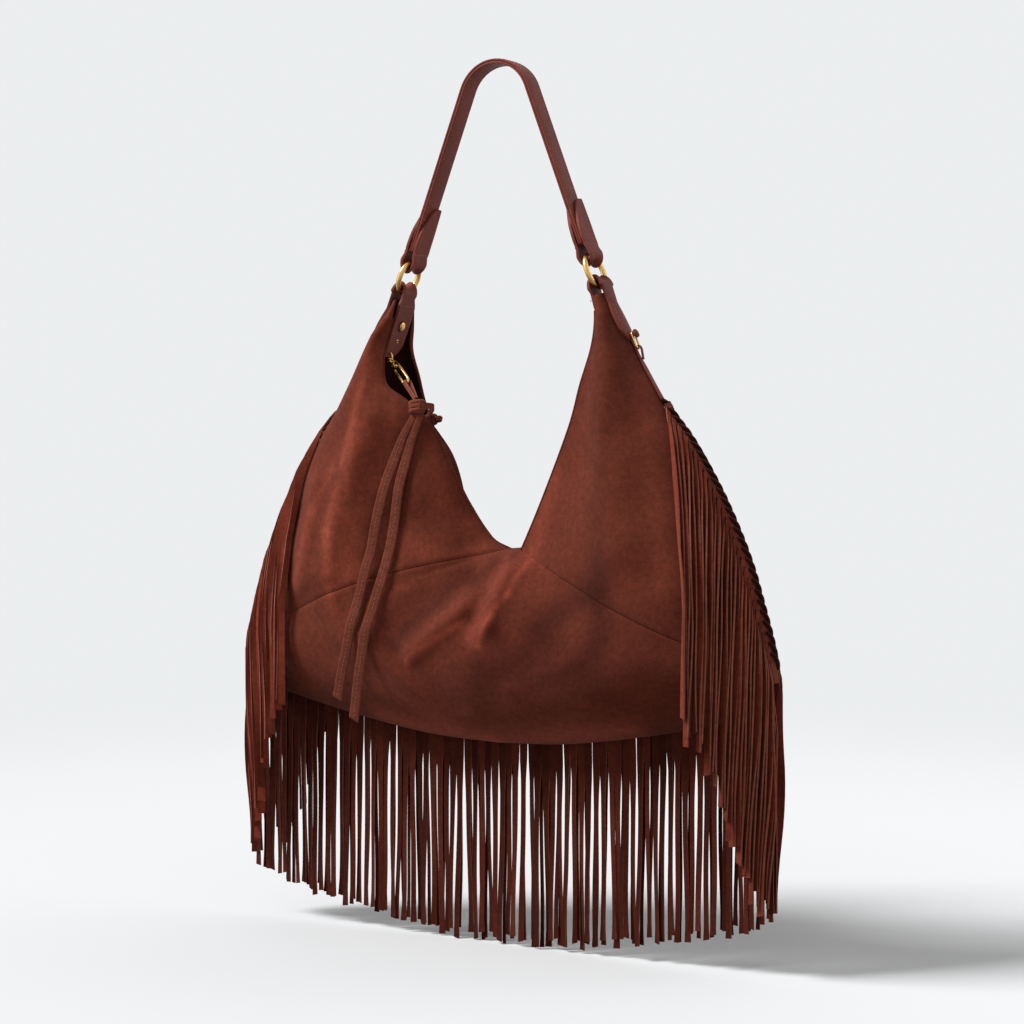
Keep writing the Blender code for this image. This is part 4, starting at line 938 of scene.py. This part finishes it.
def makeStrapTab(side, label):
    node = "strap_tab_" + label
    layer = bag["strapThick"] / 2 + bag["gap"] + halfLeather
    tip = -tab["strapReach"]
    edge = tab["width"] / 2
    outer = [(tip, layer, edge * 0.2, 0), (tip + 0.8, layer, edge * 0.33, 0), (tip + 3, layer, edge * 0.5, 0),
             (tip + 11, layer, edge * 0.74, 0), (tip + 20, layer, edge * 0.93, 0),
             (-bag["strapEnd"] - 4, layer, edge, 0), (-bag["ringRadius"] - 4.0, layer + 0.5, edge - 1.2, 0)]
    inner = [(along, -across, half, follow) for along, across, half, follow in reversed(outer)]
    rows = smoothRows(outer, 5)[:-1] + knuckleRows(-1) + smoothRows(inner, 5)[1:]
    last = len(rows) - 1

    def skew(half, along):
        return tab["tipSkew"] * (edge - half) if along < -bag["strapEnd"] else 0.0

    def place(u, v):
        row = rows[round(u * last)]
        return foldPoint(side, row, v, -1) + wide * skew(row[2], row[0])
    addSheet(node + "_leather", last, 18, place, bag["leather"], "leather", "strap", (node,), tab["bevel"])
    places = []
    for face in (1, -1):
        lift = face * (layer + halfLeather - tab["stitchSink"])
        for y in (-1, 1):
            along = tip + 3
            while along < -bag["strapEnd"] - 1:
                half = next(b[2] + (a[2] - b[2]) * (b[0] - along) / (b[0] - a[0])
                            for a, b in zip(outer, outer[1:]) if b[0] >= along)
                middle = legPoint(side, along, lift, y * (half - tab["stitchInset"]) + skew(half, along))
                places.append((middle, down(side), out(side) * face))
                along += tab["stitchPitch"]
        for k in range(-3, 4):
            middle = legPoint(side, -bag["strapEnd"] + 1.5, lift + face * 0.3, k * tab["stitchPitch"])
            places.append((middle, wide, out(side) * face))
    addStitches(node + "_stitches", places, tab["stitchLength"], tab["stitchThick"], "strap")


tongueSet = bag["hornHalf"] + overSuede + halfLeather


# Where the saddle is at a share of its own length, as a share of the side seam
def saddleShare(side, step):
    return tab["saddleStart"] * yoke[side] + tab["saddleReach"][side] / sides[side].length * step


def makeBagTab(side, label):
    node = "bag_tab_" + label
    layer = tongueSet
    start = bag["hornStart"]
    reach = tab["tongueReach"]
    half = tab["tongueWidth"][side] / 2
    inner = [(bag["ringRadius"] + 3.5, -layer + 0.4, tab["knuckle"] / 2, 0.45),
             (start + 3, -layer - 0.4, half, 0)]
    for share, width in tab["tongueShape"]:
        inner.append((start + 8 + (reach - start - 8) * share, -layer - tab["tongueLift"], half * width, 0))
    outer = [(bag["ringRadius"] + 3.5, layer - 0.4, tab["knuckle"] / 2, 0.45)]
    rows = smoothRows(inner[::-1], 4)[:-1] + knuckleRows(1)[::-1] + outer
    steps = tab["saddleSteps"]
    spread = Route([(k, 0, share) for k, share in enumerate(tab["saddleSpread"])])
    total = len(rows) + steps + 1
    lift = bag["gap"] + halfLeather

    def place(u, v):
        index = round(u * (total - 1))
        if index < len(rows):
            row = rows[index]
            skew = tab["tipSkew"] * (half - row[2]) if row[0] > start + 8 else 0.0
            return foldPoint(side, row, v, 1) - wide * skew
        step = (index - len(rows)) / steps
        share = saddleShare(side, step)
        across = 2 * v - 1
        crest, _, up = seamFrame(side, share)
        top = crest + up * (lift + bag["suede"] / 2)
        flank = max(abs(across) * 1.5 - 0.5, 0.0) * spread.at(step).z
        beside = skinFrame(side, across > 0, share / yoke[side], flank, lift + 0.15)[0]
        return top.lerp(beside, ease(abs(across) * 3))
    addSheet(node + "_leather", total - 1, 18, place, bag["leather"], "leather", "bag", (node,), tab["bevel"])
    places = []
    face = -layer - tab["tongueLift"] - halfLeather + tab["stitchSink"]
    for y in (-1, 1):
        along = start + 7
        while along < reach - 9:
            edge = half * (1 - 0.05 * max(0, (along - 35) / 15)) - tab["stitchInset"]
            places.append((legPoint(side, along, face, y * edge), down(side), -out(side)))
            along += tab["stitchPitch"]
    for k in range(-3, 4):
        places.append((legPoint(side, start + 2.5, face + 0.25, k * tab["stitchPitch"]), wide, -out(side)))
    marks = int(tab["saddleReach"][side] / tab["stitchPitch"]) - 1
    for k in range(marks):
        step = (k + 1) / (marks + 1)
        share = saddleShare(side, step)
        flank = 0.38 * spread.at(step).z
        spot, normal = skinFrame(side, False, share / yoke[side], flank, lift + halfLeather)
        places.append((spot, sides[side].along(share), normal))
    addStitches(node + "_stitches", places, tab["stitchLength"], tab["stitchThick"], "bag")


# Turned profiles as (radius, height above the tongue)
rivet = {
    # The dark ring round the rivet head is painted shade standing for a recess
    "recessShade": [(2.6, -0.3), (4.3, -0.3), (4.4, 0.0), (4.0, 0.25), (2.6, 0.2), (2.6, -0.3)],
    "head": [(0, -0.3), (3.2, -0.3), (3.5, 0.1), (3.5, 0.5), (3.2, 0.8), (2.6, 1.1), (1.6, 1.35), (0, 1.45)],
    "eyelet": [(0.7, 0.1), (0.75, 0.45), (1.1, 0.6), (1.45, 0.4), (1.5, -0.2), (0.7, -0.2), (0.7, 0.1)],
}


def makeRivet(side, label):
    node = "tab_rivet_" + label
    face = -(tongueSet + halfLeather + tab["tongueLift"] + bag["gap"])
    place = frameAt(legPoint(side, tab["rivetDrop"], face), -out(side), wide)
    # A dark ring under the head, painted shade of a recess
    addTurned(node + "_seat", rivet["recessShade"], place, "leatherEdge", "bag")
    addTurned(node + "_head", rivet["head"], place, "brass", "bag", (node,))
    place = frameAt(legPoint(side, tab["eyeletDrop"], face + bag["gap"]), -out(side), wide)
    addTurned("tab_eyelet_" + label, rivet["eyelet"], place, "brass", "bag", steps=20)


# Knotted leather knob on the outer tongue, a long brass ring round its neck, and a strip to the lacing
hitch = {
    "inset": 2.6, "neck": 1.2, "head": 2.9, "ringLength": 13.0, "ringHalf": 2.7, "wire": 0.8,
    "stripThick": 1.2, "stripHalf": 2.4, "noseHalf": 1.15, "nose": 0.55, "tail": 9.0, "twine": 0.55,
}


def makeHitch(side, label):
    unit = 1 / sides[side].length
    start = saddleShare(side, 1)
    spot, along, lift = seamFrame(side, start - hitch["inset"] * unit)
    skin = bag["suede"] / 2 + 2 * bag["gap"]
    base = skin + bag["leather"]
    neck, head, wire, thick = hitch["neck"], hitch["head"], hitch["wire"], hitch["stripThick"]
    profile = [(0, base - 0.2), (neck + 1.1, base - 0.2), (neck + 1.1, base + 0.4), (neck, base + 0.7),
               (neck, base + 2.7), (head * 0.7, base + 2.8), (head * 0.95, base + 3.2), (head, base + 3.9),
               (head * 0.92, base + 4.5), (head * 0.6, base + 5.0), (0, base + 5.3)]
    stud = "tab_stud_" + label
    addTurned(stud + "_knob", profile, frameAt(spot, lift, wide), "leather", "bag", (stud,), 24)
    twine = []
    for k in range(49):
        angle = math.tau * k / 16
        swell = head * (1.0 - 0.35 * ((k - 22) / 26) ** 2)
        around = (along * math.cos(angle) + wide * math.sin(angle)) * swell
        twine.append(spot + lift * (base + 3.1 + 1.6 * k / 48) + around)
    addWire(stud + "_knot", [twine], hitch["twine"], "thong", "bag", fine=3)

    near, far = base + 1.75, skin + thick + hitch["nose"] + wire
    half, long = hitch["ringHalf"], hitch["ringLength"]
    begins = -neck - wire - 0.3
    points = []
    for k in range(48):
        angle = math.tau * (k + 0.5) / 48
        reach = long / 2 + math.copysign(long / 2 - half, math.cos(angle)) + half * math.cos(angle)
        points.append(spot + along * (begins + reach) + lift * (near + (far - near) * reach / long)
                      + wide * half * math.sin(angle))
    addWire("side_ring_" + label + "_wire", [points], wire, "brass", "bag", ("side_ring_" + label,),
            closed=True, fine=5)

    bar = spot + along * (begins + long) + lift * far
    turn = wire + hitch["nose"] + thick / 2
    flat, _, up = seamFrame(side, start + (begins + long - hitch["inset"] + hitch["tail"]) * unit)
    nose = hitch["noseHalf"]
    rows = [(flat + up * (skin + thick * 1.5), nose), (bar + lift * turn + along * 1.5, nose)]
    for k in range(9):
        angle = math.pi * k / 8
        rows.append((bar + lift * turn * math.cos(angle) - along * turn * math.sin(angle), nose))
    begin = start + long * unit
    end = seamShare(side, bag["fringeTop"]) - 5 * unit
    for k in range(12):
        crest, _, up = seamFrame(side, begin + (end - begin) * k / 11)
        rows.append((crest + up * (overSuede + thick / 2), hitch["stripHalf"] * (0.55 + 0.45 * ease(k / 3))))
    last = len(rows) - 1

    def place(u, v):
        middle, wing = rows[round(u * last)]
        return middle + wide * wing * (2 * v - 1)
    strip = "side_strip_" + label
    addSheet(strip + "_leather", last, 4, place, thick, "leather", "bag", (strip,), 0.35)


# Fringe along the side seams: strands in front and behind, under a row of laced loops
fringe = {
    "thick": 1.15, "flare": 0.3, "width": 5.2, "count": 28, "rows": 19, "slat": (6, 48), "swing": 1.5,
    "lengths": (228.0, 202.0, 194.0, 199.0, 195.0, 168.0), "frontEnd": {-1: (165.0, 50.0), 1: (176.0, 50.0)},
    "sideEnd": (229.5, 5.0), "drawIn": 8.0, "bottomRoot": 1.75, "tones": (0.6, 1.35), "sideFlare": 0.12,
    "bottomCount": 76, "bottomBack": 60, "bottomLength": 150.0, "bottomWidth": 3.5, "bottomBackWidth": 2.7,
    "bottomCorner": 0.032, "loopRadius": 1.5, "loopRise": 3.0, "loopReach": 3.2, "loopSlant": 0.75,
    "knotRadius": 1.15, "knotTurn": 1.7, "offSuede": 1.6, "offSuedeLater": 0.8,
}


# A point on the suede beside a side seam, on the wing or further down on the base panel
def seamSkin(side, back, share, v, lift):
    if share <= yoke[side] * 0.985:
        return skinFrame(side, back, share / yoke[side], v, lift)
    u = max((share - yoke[side]) / ((1 - yoke[side]) * 2), 0.008)
    return skinFrame("base", back, u if side < 0 else 1 - u, v, lift)


# Evens out a row of growing values, without making any of them smaller
def smoothed(first, values):
    for _ in range(3):
        after = values[1:] + values[-1:]
        values = [max(b, (a + b * 2 + c) / 4) for a, b, c in zip([first] + values, values, after)]
    return values


# Path and cross direction of a hanging side strand, which lies on the suede before it hangs free
def strandRows(side, back, root, seam, share, length, start):
    ySign = 1 if back else -1
    first, last = fringe["frontEnd"][side], fringe["sideEnd"]
    endX = side * (first[0] + (last[0] - first[0]) * share)
    endY = ySign * (first[1] + (last[1] - first[1]) * share ** 1.1)
    slatAngle = math.radians(random.uniform(*fringe["slat"]))
    slat = Vector((side * math.cos(slatAngle), ySign * math.sin(slatAngle), 0))
    sway = Vector((random.uniform(-1.6, 1.6), random.uniform(-2.0, 2.0), 0))
    phase = random.uniform(0, math.tau)
    curl = math.radians(random.uniform(-26, 26))
    count = fringe["rows"]
    steps = [(k / count) ** 1.5 for k in range(1, count + 1)]

    def swung(held):
        return root.x + (endX - root.x) * held, abs(root.y + (endY - root.y) * held)

    def outside(x, step):
        away = fringe["offSuede"] + fringe["offSuedeLater"] * min(1, 6 * step)
        return depthAt(x, root.z - length * step, back, 2.0) + away
    shares, held = [], 0.0
    for step in steps:
        held = max(held, ease(step * fringe["swing"]))
        while held < 1:
            x, y = swung(held)
            if y >= outside(x, step):
                break
            held = min(1.0, held + 0.03)
        shares.append(held)
    shares = smoothed(0.0, shares)
    depths, deep = [], 0.0
    for step, held in zip(steps, shares):
        x, y = swung(held)
        deep = max(deep, outside(x, step))
        depths.append(max(deep, y))
    rows = [(start, seam)]
    for step, held, depth in zip(steps, shares, smoothed(abs(start.y), depths)):
        x = swung(held)[0] - side * fringe["drawIn"] * share * ease((step - 0.35) / 0.65)
        spot = Vector((x, ySign * depth, root.z - length * step))
        spot = clearOfSuede(spot + sway * step * math.sin(3.2 * step + phase), back, 1.7 + min(0.9, 8 * step))
        turn = Matrix.Rotation(curl * step + 0.3 * math.sin(9 * step + phase) * min(1, 5 * step), 3, "Z")
        rows.append((spot, (turn @ seam.lerp(slat, ease(step * 6))).normalized()))
    return rows


def fringeSpan(side):
    return seamShare(side, bag["fringeTop"]), seamShare(side, bag["fringeEnd"])


# A strand with a slightly flared end, cut a little askew
def addStrand(bm, rows, width, tone, flare, root=1.0, narrowing=0.2):
    last = len(rows) - 1
    askew = random.uniform(-0.2, 0.2)

    def place(u, v):
        middle, across = rows[round(u * last)]
        trim = 1 + flare * max(0.0, u - 0.93) * 14 + (root - 1) * (1 - ease((u - 0.04) / narrowing))
        spot = middle + across * (width / 2) * (2 * v - 1) * trim
        if round(u * last) == last:
            spot = spot + Vector((0, 0, width * askew * (2 * v - 1)))
        return spot
    addGrid(bm, last, 2, place, tone)


def newStrands():
    bm = bmesh.new()
    bm.verts.layers.float.new("tone")
    return bm


def addStrands(bm, node):
    name = node + "_strands"
    thicken(addPiece(name, meshFrom(name, bm), "strands", "bag", (node,)), fringe["thick"], even=False)


def makeSideFringe(side, label):
    node = "side_fringe_" + label
    top, end = fringeSpan(side)
    bm = newStrands()
    count = fringe["count"]
    lengths = fringe["lengths"]
    reach = len(lengths) - 1
    for back in (False, True):
        for k in range(count):
            share = (k + random.uniform(-0.2, 0.2)) / (count - 1)
            share = min(max(share, 0.0), 1.0)
            low = min(int(share * reach), reach - 1)
            length = lengths[low] + (lengths[low + 1] - lengths[low]) * (share * reach - low)
            length += random.uniform(-14, 7)
            sewn = top + (end - top) * (k + 0.5) / count
            root, _ = seamSkin(side, back, sewn, 0.012, 1.5)
            crest, along, up = seamFrame(side, sewn)
            rows = strandRows(side, back, root, along, share, length, root.lerp(crest, 0.25) + up * 1.2)
            addStrand(bm, rows, fringe["width"] * random.uniform(0.7, 1.15), random.uniform(*fringe["tones"]),
                      fringe["sideFlare"])
    addStrands(bm, node)

    def band(u, v):
        share = top + (end - top) * u
        across = 2 * v - 1
        crest, _, up = seamFrame(side, share)
        peak = crest + up * (overSuede + 0.9)
        flank = 0.014 * max(0, abs(across) * 1.4 - 0.4)
        beside = seamSkin(side, across > 0, share, flank, bag["gap"] + 0.7)[0]
        return peak.lerp(beside, ease(abs(across) * 3.5))
    addSheet(node + "_binding", 60, 10, band, 1.0, "thong", "bag", bevel=0.3, even=False)


# Slanted loops of thong, whipped over the seam's crest
def makeLacing(side, label):
    node = "side_lacing_" + label
    top, end = fringeSpan(side)
    count = fringe["count"]
    pitch = (end - top) / count
    paths = []
    for k in range(count - 1):
        points = []
        for step in range(9):
            t = step / 8 * 2 - 1
            share = min(max(top + pitch * (k + fringe["loopSlant"] * t), top - pitch), end + pitch)
            crest, _, up = seamFrame(side, share)
            rise = overSuede + fringe["loopRise"] * (1 - 0.7 * t * t)
            points.append(crest + up * rise + wide * t * fringe["loopReach"])
        paths.append(points)
    addWire(node + "_loops", paths, fringe["loopRadius"], "strands", "bag", (node,), fine=2)
    crest, along, up = seamFrame(side, top)
    knot = []
    for k in range(28):
        around = (up * math.cos(k * 0.7) + wide * math.sin(k * 0.7)) * fringe["knotTurn"]
        knot.append(crest + up * 3.4 - along * 1.5 + around + along * (k * 0.16))
    addWire(node + "_knot", [knot], fringe["knotRadius"], "thong", "bag", fine=3)


# A point on the bottom seam at a distance from its middle, with the directions along it and outwards
def seamAt(distance):
    side = -1 if distance < 0 else 1
    here = sides[side].at(1 - abs(distance) / sides[side].length)
    ahead = sides[side].at(1 - (abs(distance) + 0.5) / sides[side].length)
    along = (ahead - here).normalized() * side
    return here, along, Vector((along.z, 0, -along.x))


# Two rows of strands sewn into the bottom seam
def makeBottomFringe():
    run = sides[1].length * (1 - seamShare(1, bag["fringeEnd"] + fringe["bottomCorner"]))
    bm = newStrands()
    # Tones of the bottom rows are kept low, a painted shade under the belly, lower still for the back row
    for count, y, width, tones in ((fringe["bottomCount"], -1.2, fringe["bottomWidth"], (0.0, 0.42)),
                                   (fringe["bottomBack"], 1.4, fringe["bottomBackWidth"], (0.0, 0.2))):
        pitch = 2 * run / count
        for k in range(count):
            here, along, outward = seamAt(-run + pitch * (k + 0.5 + random.uniform(-0.12, 0.12)))
            length = fringe["bottomLength"] + random.uniform(-7, 2)
            phase = random.uniform(0, math.tau)
            sway = random.uniform(-2.4, 2.4)
            lean = random.uniform(-3.2, 3.2)
            turn = random.uniform(-0.3, 0.3)
            rows = []
            for step in range(13):
                t = step / 12
                if step == 0:
                    spot = here + outward * 0.2
                else:
                    spot = here + outward * 3 * min(1, t * 6) + Vector((0, 0, -length * t))
                spot = spot + Vector((sway * t * t + 0.7 * math.sin(7 * t + phase) * t, y + lean * t, 0))
                angle = (turn * t + 0.22 * math.sin(4.5 * t + phase)) * min(1, 4 * t)
                rows.append((spot, Matrix.Rotation(angle, 3, "Z")
                             @ along.lerp(Vector((1, 0, 0)), min(1, 3 * t)).normalized()))
            addStrand(bm, rows, width * random.uniform(0.85, 1.1), random.uniform(*tones),
                      fringe["flare"], fringe["bottomRoot"], random.uniform(0.08, 0.4))
    addStrands(bm, "bottom_fringe")


# Swivel clip in the mouth: ring, eye with its post, hook with a sprung gate
clip = {
    "ringRadius": 4.2, "eyeRadius": 2.8, "eyeLap": 2.0, "wire": 0.8, "hookWire": 1.0,
    "hookLength": 27.0, "hookHalf": 3.5, "hookTurn": 0.75, "mouthGap": 1.5, "loopPlay": 0.9,
    "post": [(0, -0.4), (1.1, -0.2), (1.25, 0.5), (0.9, 0.9), (0.9, 5.6), (1.5, 5.7), (1.6, 6.4),
             (1.1, 6.9), (0, 7.0)],
    "collar": [(1.35, 0), (2.1, 0), (2.4, 0.4), (2.4, 0.9), (2.15, 1.2), (2.55, 1.6), (2.6, 2.5), (2.2, 3.5),
               (1.5, 3.8), (1.35, 3.6), (1.35, 0)],
}
ties = {
    "keeper": (-53.8, -30.8, -254.0), "keeperHalf": (5.8, 4.0, 5.0),
    "inner": (-57.8, -4.5, -263.8), "innerHalf": (4.0, 3.5, 4.2), "lace": 7.2, "laceThick": 1.5, "curl": 0.1,
    "bevel": 0.35, "face": Vector((0.35, -0.94, 0)), "innerFace": Vector((0.5, -0.86, 0)),
    "coilTilt": 0.22, "offSuede": 2.6, "loopThick": 1.1, "bridgeThick": 1.4, "knob": 2.4,
    "stitches": (2.3, 0.6),
    "left": [(-57, 2), (-65.5, 20), (-76, 50), (-84, 85), (-91, 125), (-99, 165), (-106, 195), (-110, 215)],
    "right": [(-51, 2), (-58.5, 20), (-66, 50), (-70, 85), (-76, 125), (-84, 165), (-90, 200), (-94, 230)],
    "within": [(-57, -3, -271), (-52, -1, -279), (-44.5, 0, -292), (-37, 0, -312), (-30, 0, -345),
               (-24, 0, -380), (-20, 0, -415)],
}
tongueHole = legPoint(-1, tab["tongueReach"] - 3.6, -tongueSet - tab["tongueLift"], -4.5)
keeperAt = Vector(ties["keeper"])


# The small ring's middle, where the eye hangs in it, and the clip's direction towards the keeper
def clipFrame():
    ringMiddle = tongueHole + down(-1) * (clip["ringRadius"] - 0.2)
    target = keeperAt + Vector((-3.0, 3.0, ties["keeperHalf"][2] + 4.0))
    toward = target - ringMiddle
    link = ringMiddle + Vector((toward.x, 0, toward.z)).normalized() * clip["ringRadius"]
    return ringMiddle, link, (target - link).normalized()


def makeClip():
    wire, hookWire = clip["wire"], clip["hookWire"]
    ringMiddle, link, axis = clipFrame()
    flat = Matrix.Rotation(clip["hookTurn"], 3, axis) @ axis.cross(Vector((0.5, -0.866, 0))).normalized()
    normal = flat.cross(axis).normalized()
    circle = ring(ringMiddle, clip["ringRadius"], Vector((1, 0, 0)), Vector((0, 0, 1)), 40)
    addWire("clasp_ring_wire", [circle], wire, "brass", "bag", ("clasp_ring",), closed=True, fine=5)
    eyeNormal = Vector((axis.z, 0, -axis.x)).normalized()
    eyeMiddle = link + axis * (clip["eyeRadius"] - clip["eyeLap"])
    circle = ring(eyeMiddle, clip["eyeRadius"], axis, axis.cross(eyeNormal).normalized(), 32)
    addWire("clasp_eye_loop", [circle], wire, "brass", "bag", ("clasp_eye",), closed=True, fine=5)
    post = clip["eyeRadius"] * 2 - clip["eyeLap"] - 0.6
    place = frameAt(link + axis * post, axis, flat)
    addTurned("clasp_eye_post", clip["post"], place, "brass", "bag", steps=24)
    collar = post + 1.5
    place = frameAt(link + axis * collar, axis, flat)
    addTurned("clasp_hook_collar", clip["collar"], place, "brass", "clip_hook", ("clasp_hook",), steps=28)
    top = collar + 3.0
    half, long = clip["hookHalf"], clip["hookLength"]
    shape = Route([(-1.9, 0, 0), (-3.0, 0, 1.2), (-half, 0, 5.0), (-half, 0, long - half)], 8).dense
    shape += [Vector((-half * math.cos(math.pi * k / 16), 0, long - half + half * math.sin(math.pi * k / 16)))
              for k in range(1, 16)]
    shape += [Vector((half, 0, long - half)), Vector((half, 0, long - half - clip["mouthGap"]))]
    points = [link + axis * (top + spot.z) + flat * spot.x for spot in shape]
    addWire("clasp_hook_loop", [points], hookWire, "brass", "clip_hook", fine=5,
            swell=lambda t: 1.15 - 0.25 * t)
    gateEnd = top + long - half - clip["mouthGap"] - hookWire - bag["gap"]
    gate = Route([link + axis * along + flat * (half - inset) for along, inset in (
        (top + 2.6, 1.0), (top + 4.0, 0.1), (gateEnd - 2.0, 0.1), (gateEnd, 0.1))])
    line = [gate.at(k / 16) for k in range(17)]
    addWire("clasp_gate_bar", [line], hookWire * 0.9, "brass", "clip_gate", ("clasp_gate",), fine=5)
    return link, axis, flat, normal, top


# Thong wrapped into a barrel: coils of lace round a core
def makeWrap(name, centre, half, nodes, turns):
    bm = bmesh.new()
    bmesh.ops.create_cube(bm, size=2.0)
    size = Matrix.Diagonal((half[0] * mm, half[1] * mm, half[2] * mm, 1))
    bmesh.ops.transform(bm, matrix=Matrix.Translation(centre * mm) @ size, verts=bm.verts)
    bmesh.ops.bevel(bm, geom=bm.edges[:], offset=min(half) * 0.55 * mm, segments=4, profile=0.5,
                    affect="EDGES", material=-1)
    bmesh.ops.subdivide_edges(bm, edges=bm.edges[:], cuts=3, use_grid_fill=True)
    for vert in bm.verts:
        spot = vert.co / mm - centre
        ridge = math.sin((spot.z / half[2] + 0.15 * spot.x / half[0]) * math.pi * turns / 2)
        vert.co += (Vector((spot.x, spot.y, 0)).normalized() * 0.35 * ridge) * mm
    addPiece(name, meshFrom(name, bm), "thong", "bag", nodes, sharp=70)
    coils = []
    for turn in range(turns):
        rise = half[2] * ((2 * turn + 1) / turns - 1)
        coil = []
        for k in range(32):
            angle = math.tau * k / 32
            x = (half[0] - 1.0) * math.copysign(abs(math.cos(angle)) ** 0.7, math.cos(angle))
            y = (half[1] - 1.0) * math.copysign(abs(math.sin(angle)) ** 0.7, math.sin(angle))
            tilt = ties["coilTilt"] * half[2] * math.cos(angle + 0.7)
            coil.append(centre + Vector((x, y, rise * 0.9 + tilt)))
        coils.append(coil)
    addWire(name + "_coils", coils, half[2] / turns, "thong", "bag", closed=True, fine=3)


# A tie's way down from the keeper, kept in front of the suede
def tieRoute(plan):
    top = keeperAt.z - ties["keeperHalf"][2] - bag["gap"]
    route = Route([(x, 0, top - fall) for x, fall in plan])
    points = []
    held = abs(keeperAt.y)
    steps = 34
    for k in range(steps + 1):
        point = route.at(k / steps)
        for drop in (-7.0, 0.0, 7.0):
            held = max(held, depthAt(point.x, point.z + drop, False, 3.0) + ties["offSuede"])
        points.append(Vector((point.x, -held, point.z)))
    return points


# Flat suede lace along a route, with a dashed seam on its face
def makeLace(name, node, points, face):
    last = len(points) - 1
    crosses = []
    for k, point in enumerate(points):
        along = (points[min(k + 1, last)] - points[max(k - 1, 0)]).normalized()
        crosses.append(along.cross(face).normalized())

    def place(u, v):
        k = round(u * last)
        trim = 0.62 + 0.38 * ease(k / 6)
        curl = ties["curl"] * (2 * v - 1) ** 2
        cut = Vector((0, 0, 1.8 * (2 * v - 1))) if k == last else Vector((0, 0, 0))
        return points[k] + crosses[k] * ties["lace"] / 2 * trim * (2 * v - 1) - face * curl + cut
    piece = addSheet(name, last, 6, place, ties["laceThick"], "thong", "bag", (node,), ties["bevel"])
    places = []
    for k in range(2, last):
        for part in (0.0, 0.5):
            spot = points[k].lerp(points[min(k + 1, last)], part)
            along = (points[min(k + 1, last)] - points[k - 1]).normalized()
            places.append((spot + face * (ties["laceThick"] / 2 - 0.05), along, face))
    threads = addStitches(name + "_stitches", places, *ties["stitches"], "bag")


# Two thongs from the hook to the keeper, the strands below it, and the bridge over the edge into the mouth
def makeTies(link, axis, flat, normal, top):
    bottom = link + axis * (top + clip["hookLength"])
    turn = clip["hookWire"] + clip["loopPlay"] + 0.55
    landing = keeperAt + Vector((-1.0, 0.0, ties["keeperHalf"][2] + 0.6))
    for name, nodes, shift in (("tie_loop_lace", ("tie_loop",), 0.9), ("tie_loop_second_lace", (), -0.9)):
        rows = [landing - wide * 1.2 + flat * shift]
        for k in range(13):
            angle = math.pi * k / 12
            below = axis * 0.8 * turn * math.sin(angle)
            rows.append(bottom + normal * turn * math.cos(angle) - below + flat * shift)
        rows.append(landing + wide * 1.2 + flat * shift)
        line = Route(rows, 6)

        def place(u, v):
            return line.at(u) + flat * 0.75 * (2 * v - 1)
        addSheet(name, 60, 3, place, ties["loopThick"], "thong", "bag", nodes, 0.3, even=False)
    makeWrap("tie_keeper_wrap", keeperAt, ties["keeperHalf"], ("tie_keeper",), 3)
    for label in ("left", "right"):
        node = "tie_strand_" + label
        makeLace(node + "_lace", node, tieRoute(ties[label]), ties["face"].normalized())
    inner = Vector(ties["inner"])
    half = ties["innerHalf"]
    makeWrap("inner_keeper_wrap", inner, half, ("inner_keeper",), 2)
    first = keeperAt + Vector((ties["keeperHalf"][0] - 0.4, 1.5, 1.0))
    last = inner + Vector((1.0, -half[1] - 0.2, 2.2))
    route = Route([first, keeperAt + Vector((9.5, 8, -0.5)), last + Vector((2.5, -5.5, 2.0)), last])

    def bridge(u, v):
        return route.at(u) + Vector((0, 0, 2.4 * (2 * v - 1)))
    addSheet("tie_bridge_lace", 24, 4, bridge, ties["bridgeThick"], "thong", "bag", ("tie_bridge",),
             ties["bevel"])
    knob = inner + Vector((half[0] + bag["gap"] + ties["knob"], 0, 0.5))
    makeWrap("keeper_knob_knot", knob, (ties["knob"],) * 3, ("keeper_knob",), 2)
    route = Route(ties["within"])
    points = [route.at(k / 30) for k in range(31)]
    makeLace("tie_strand_inner_lace", "tie_strand_inner", points, ties["innerFace"])


makeBody()
rememberPanels()
print("suede body is made")
makeTies(*makeClip())
print("clip and ties are made")
makeStrap()
for side, label in ((-1, "left"), (1, "right")):
    makeRing(side, label)
    makeStrapTab(side, label)
    makeBagTab(side, label)
    makeRivet(side, label)
    if side > 0:
        makeHitch(side, label)
    makeSideFringe(side, label)
    makeLacing(side, label)
    print(label + " side is made")
makePiping(False, "front_mouth_piping")
makePiping(True, "back_mouth_piping")
makeBottomFringe()
print("fringe is made")
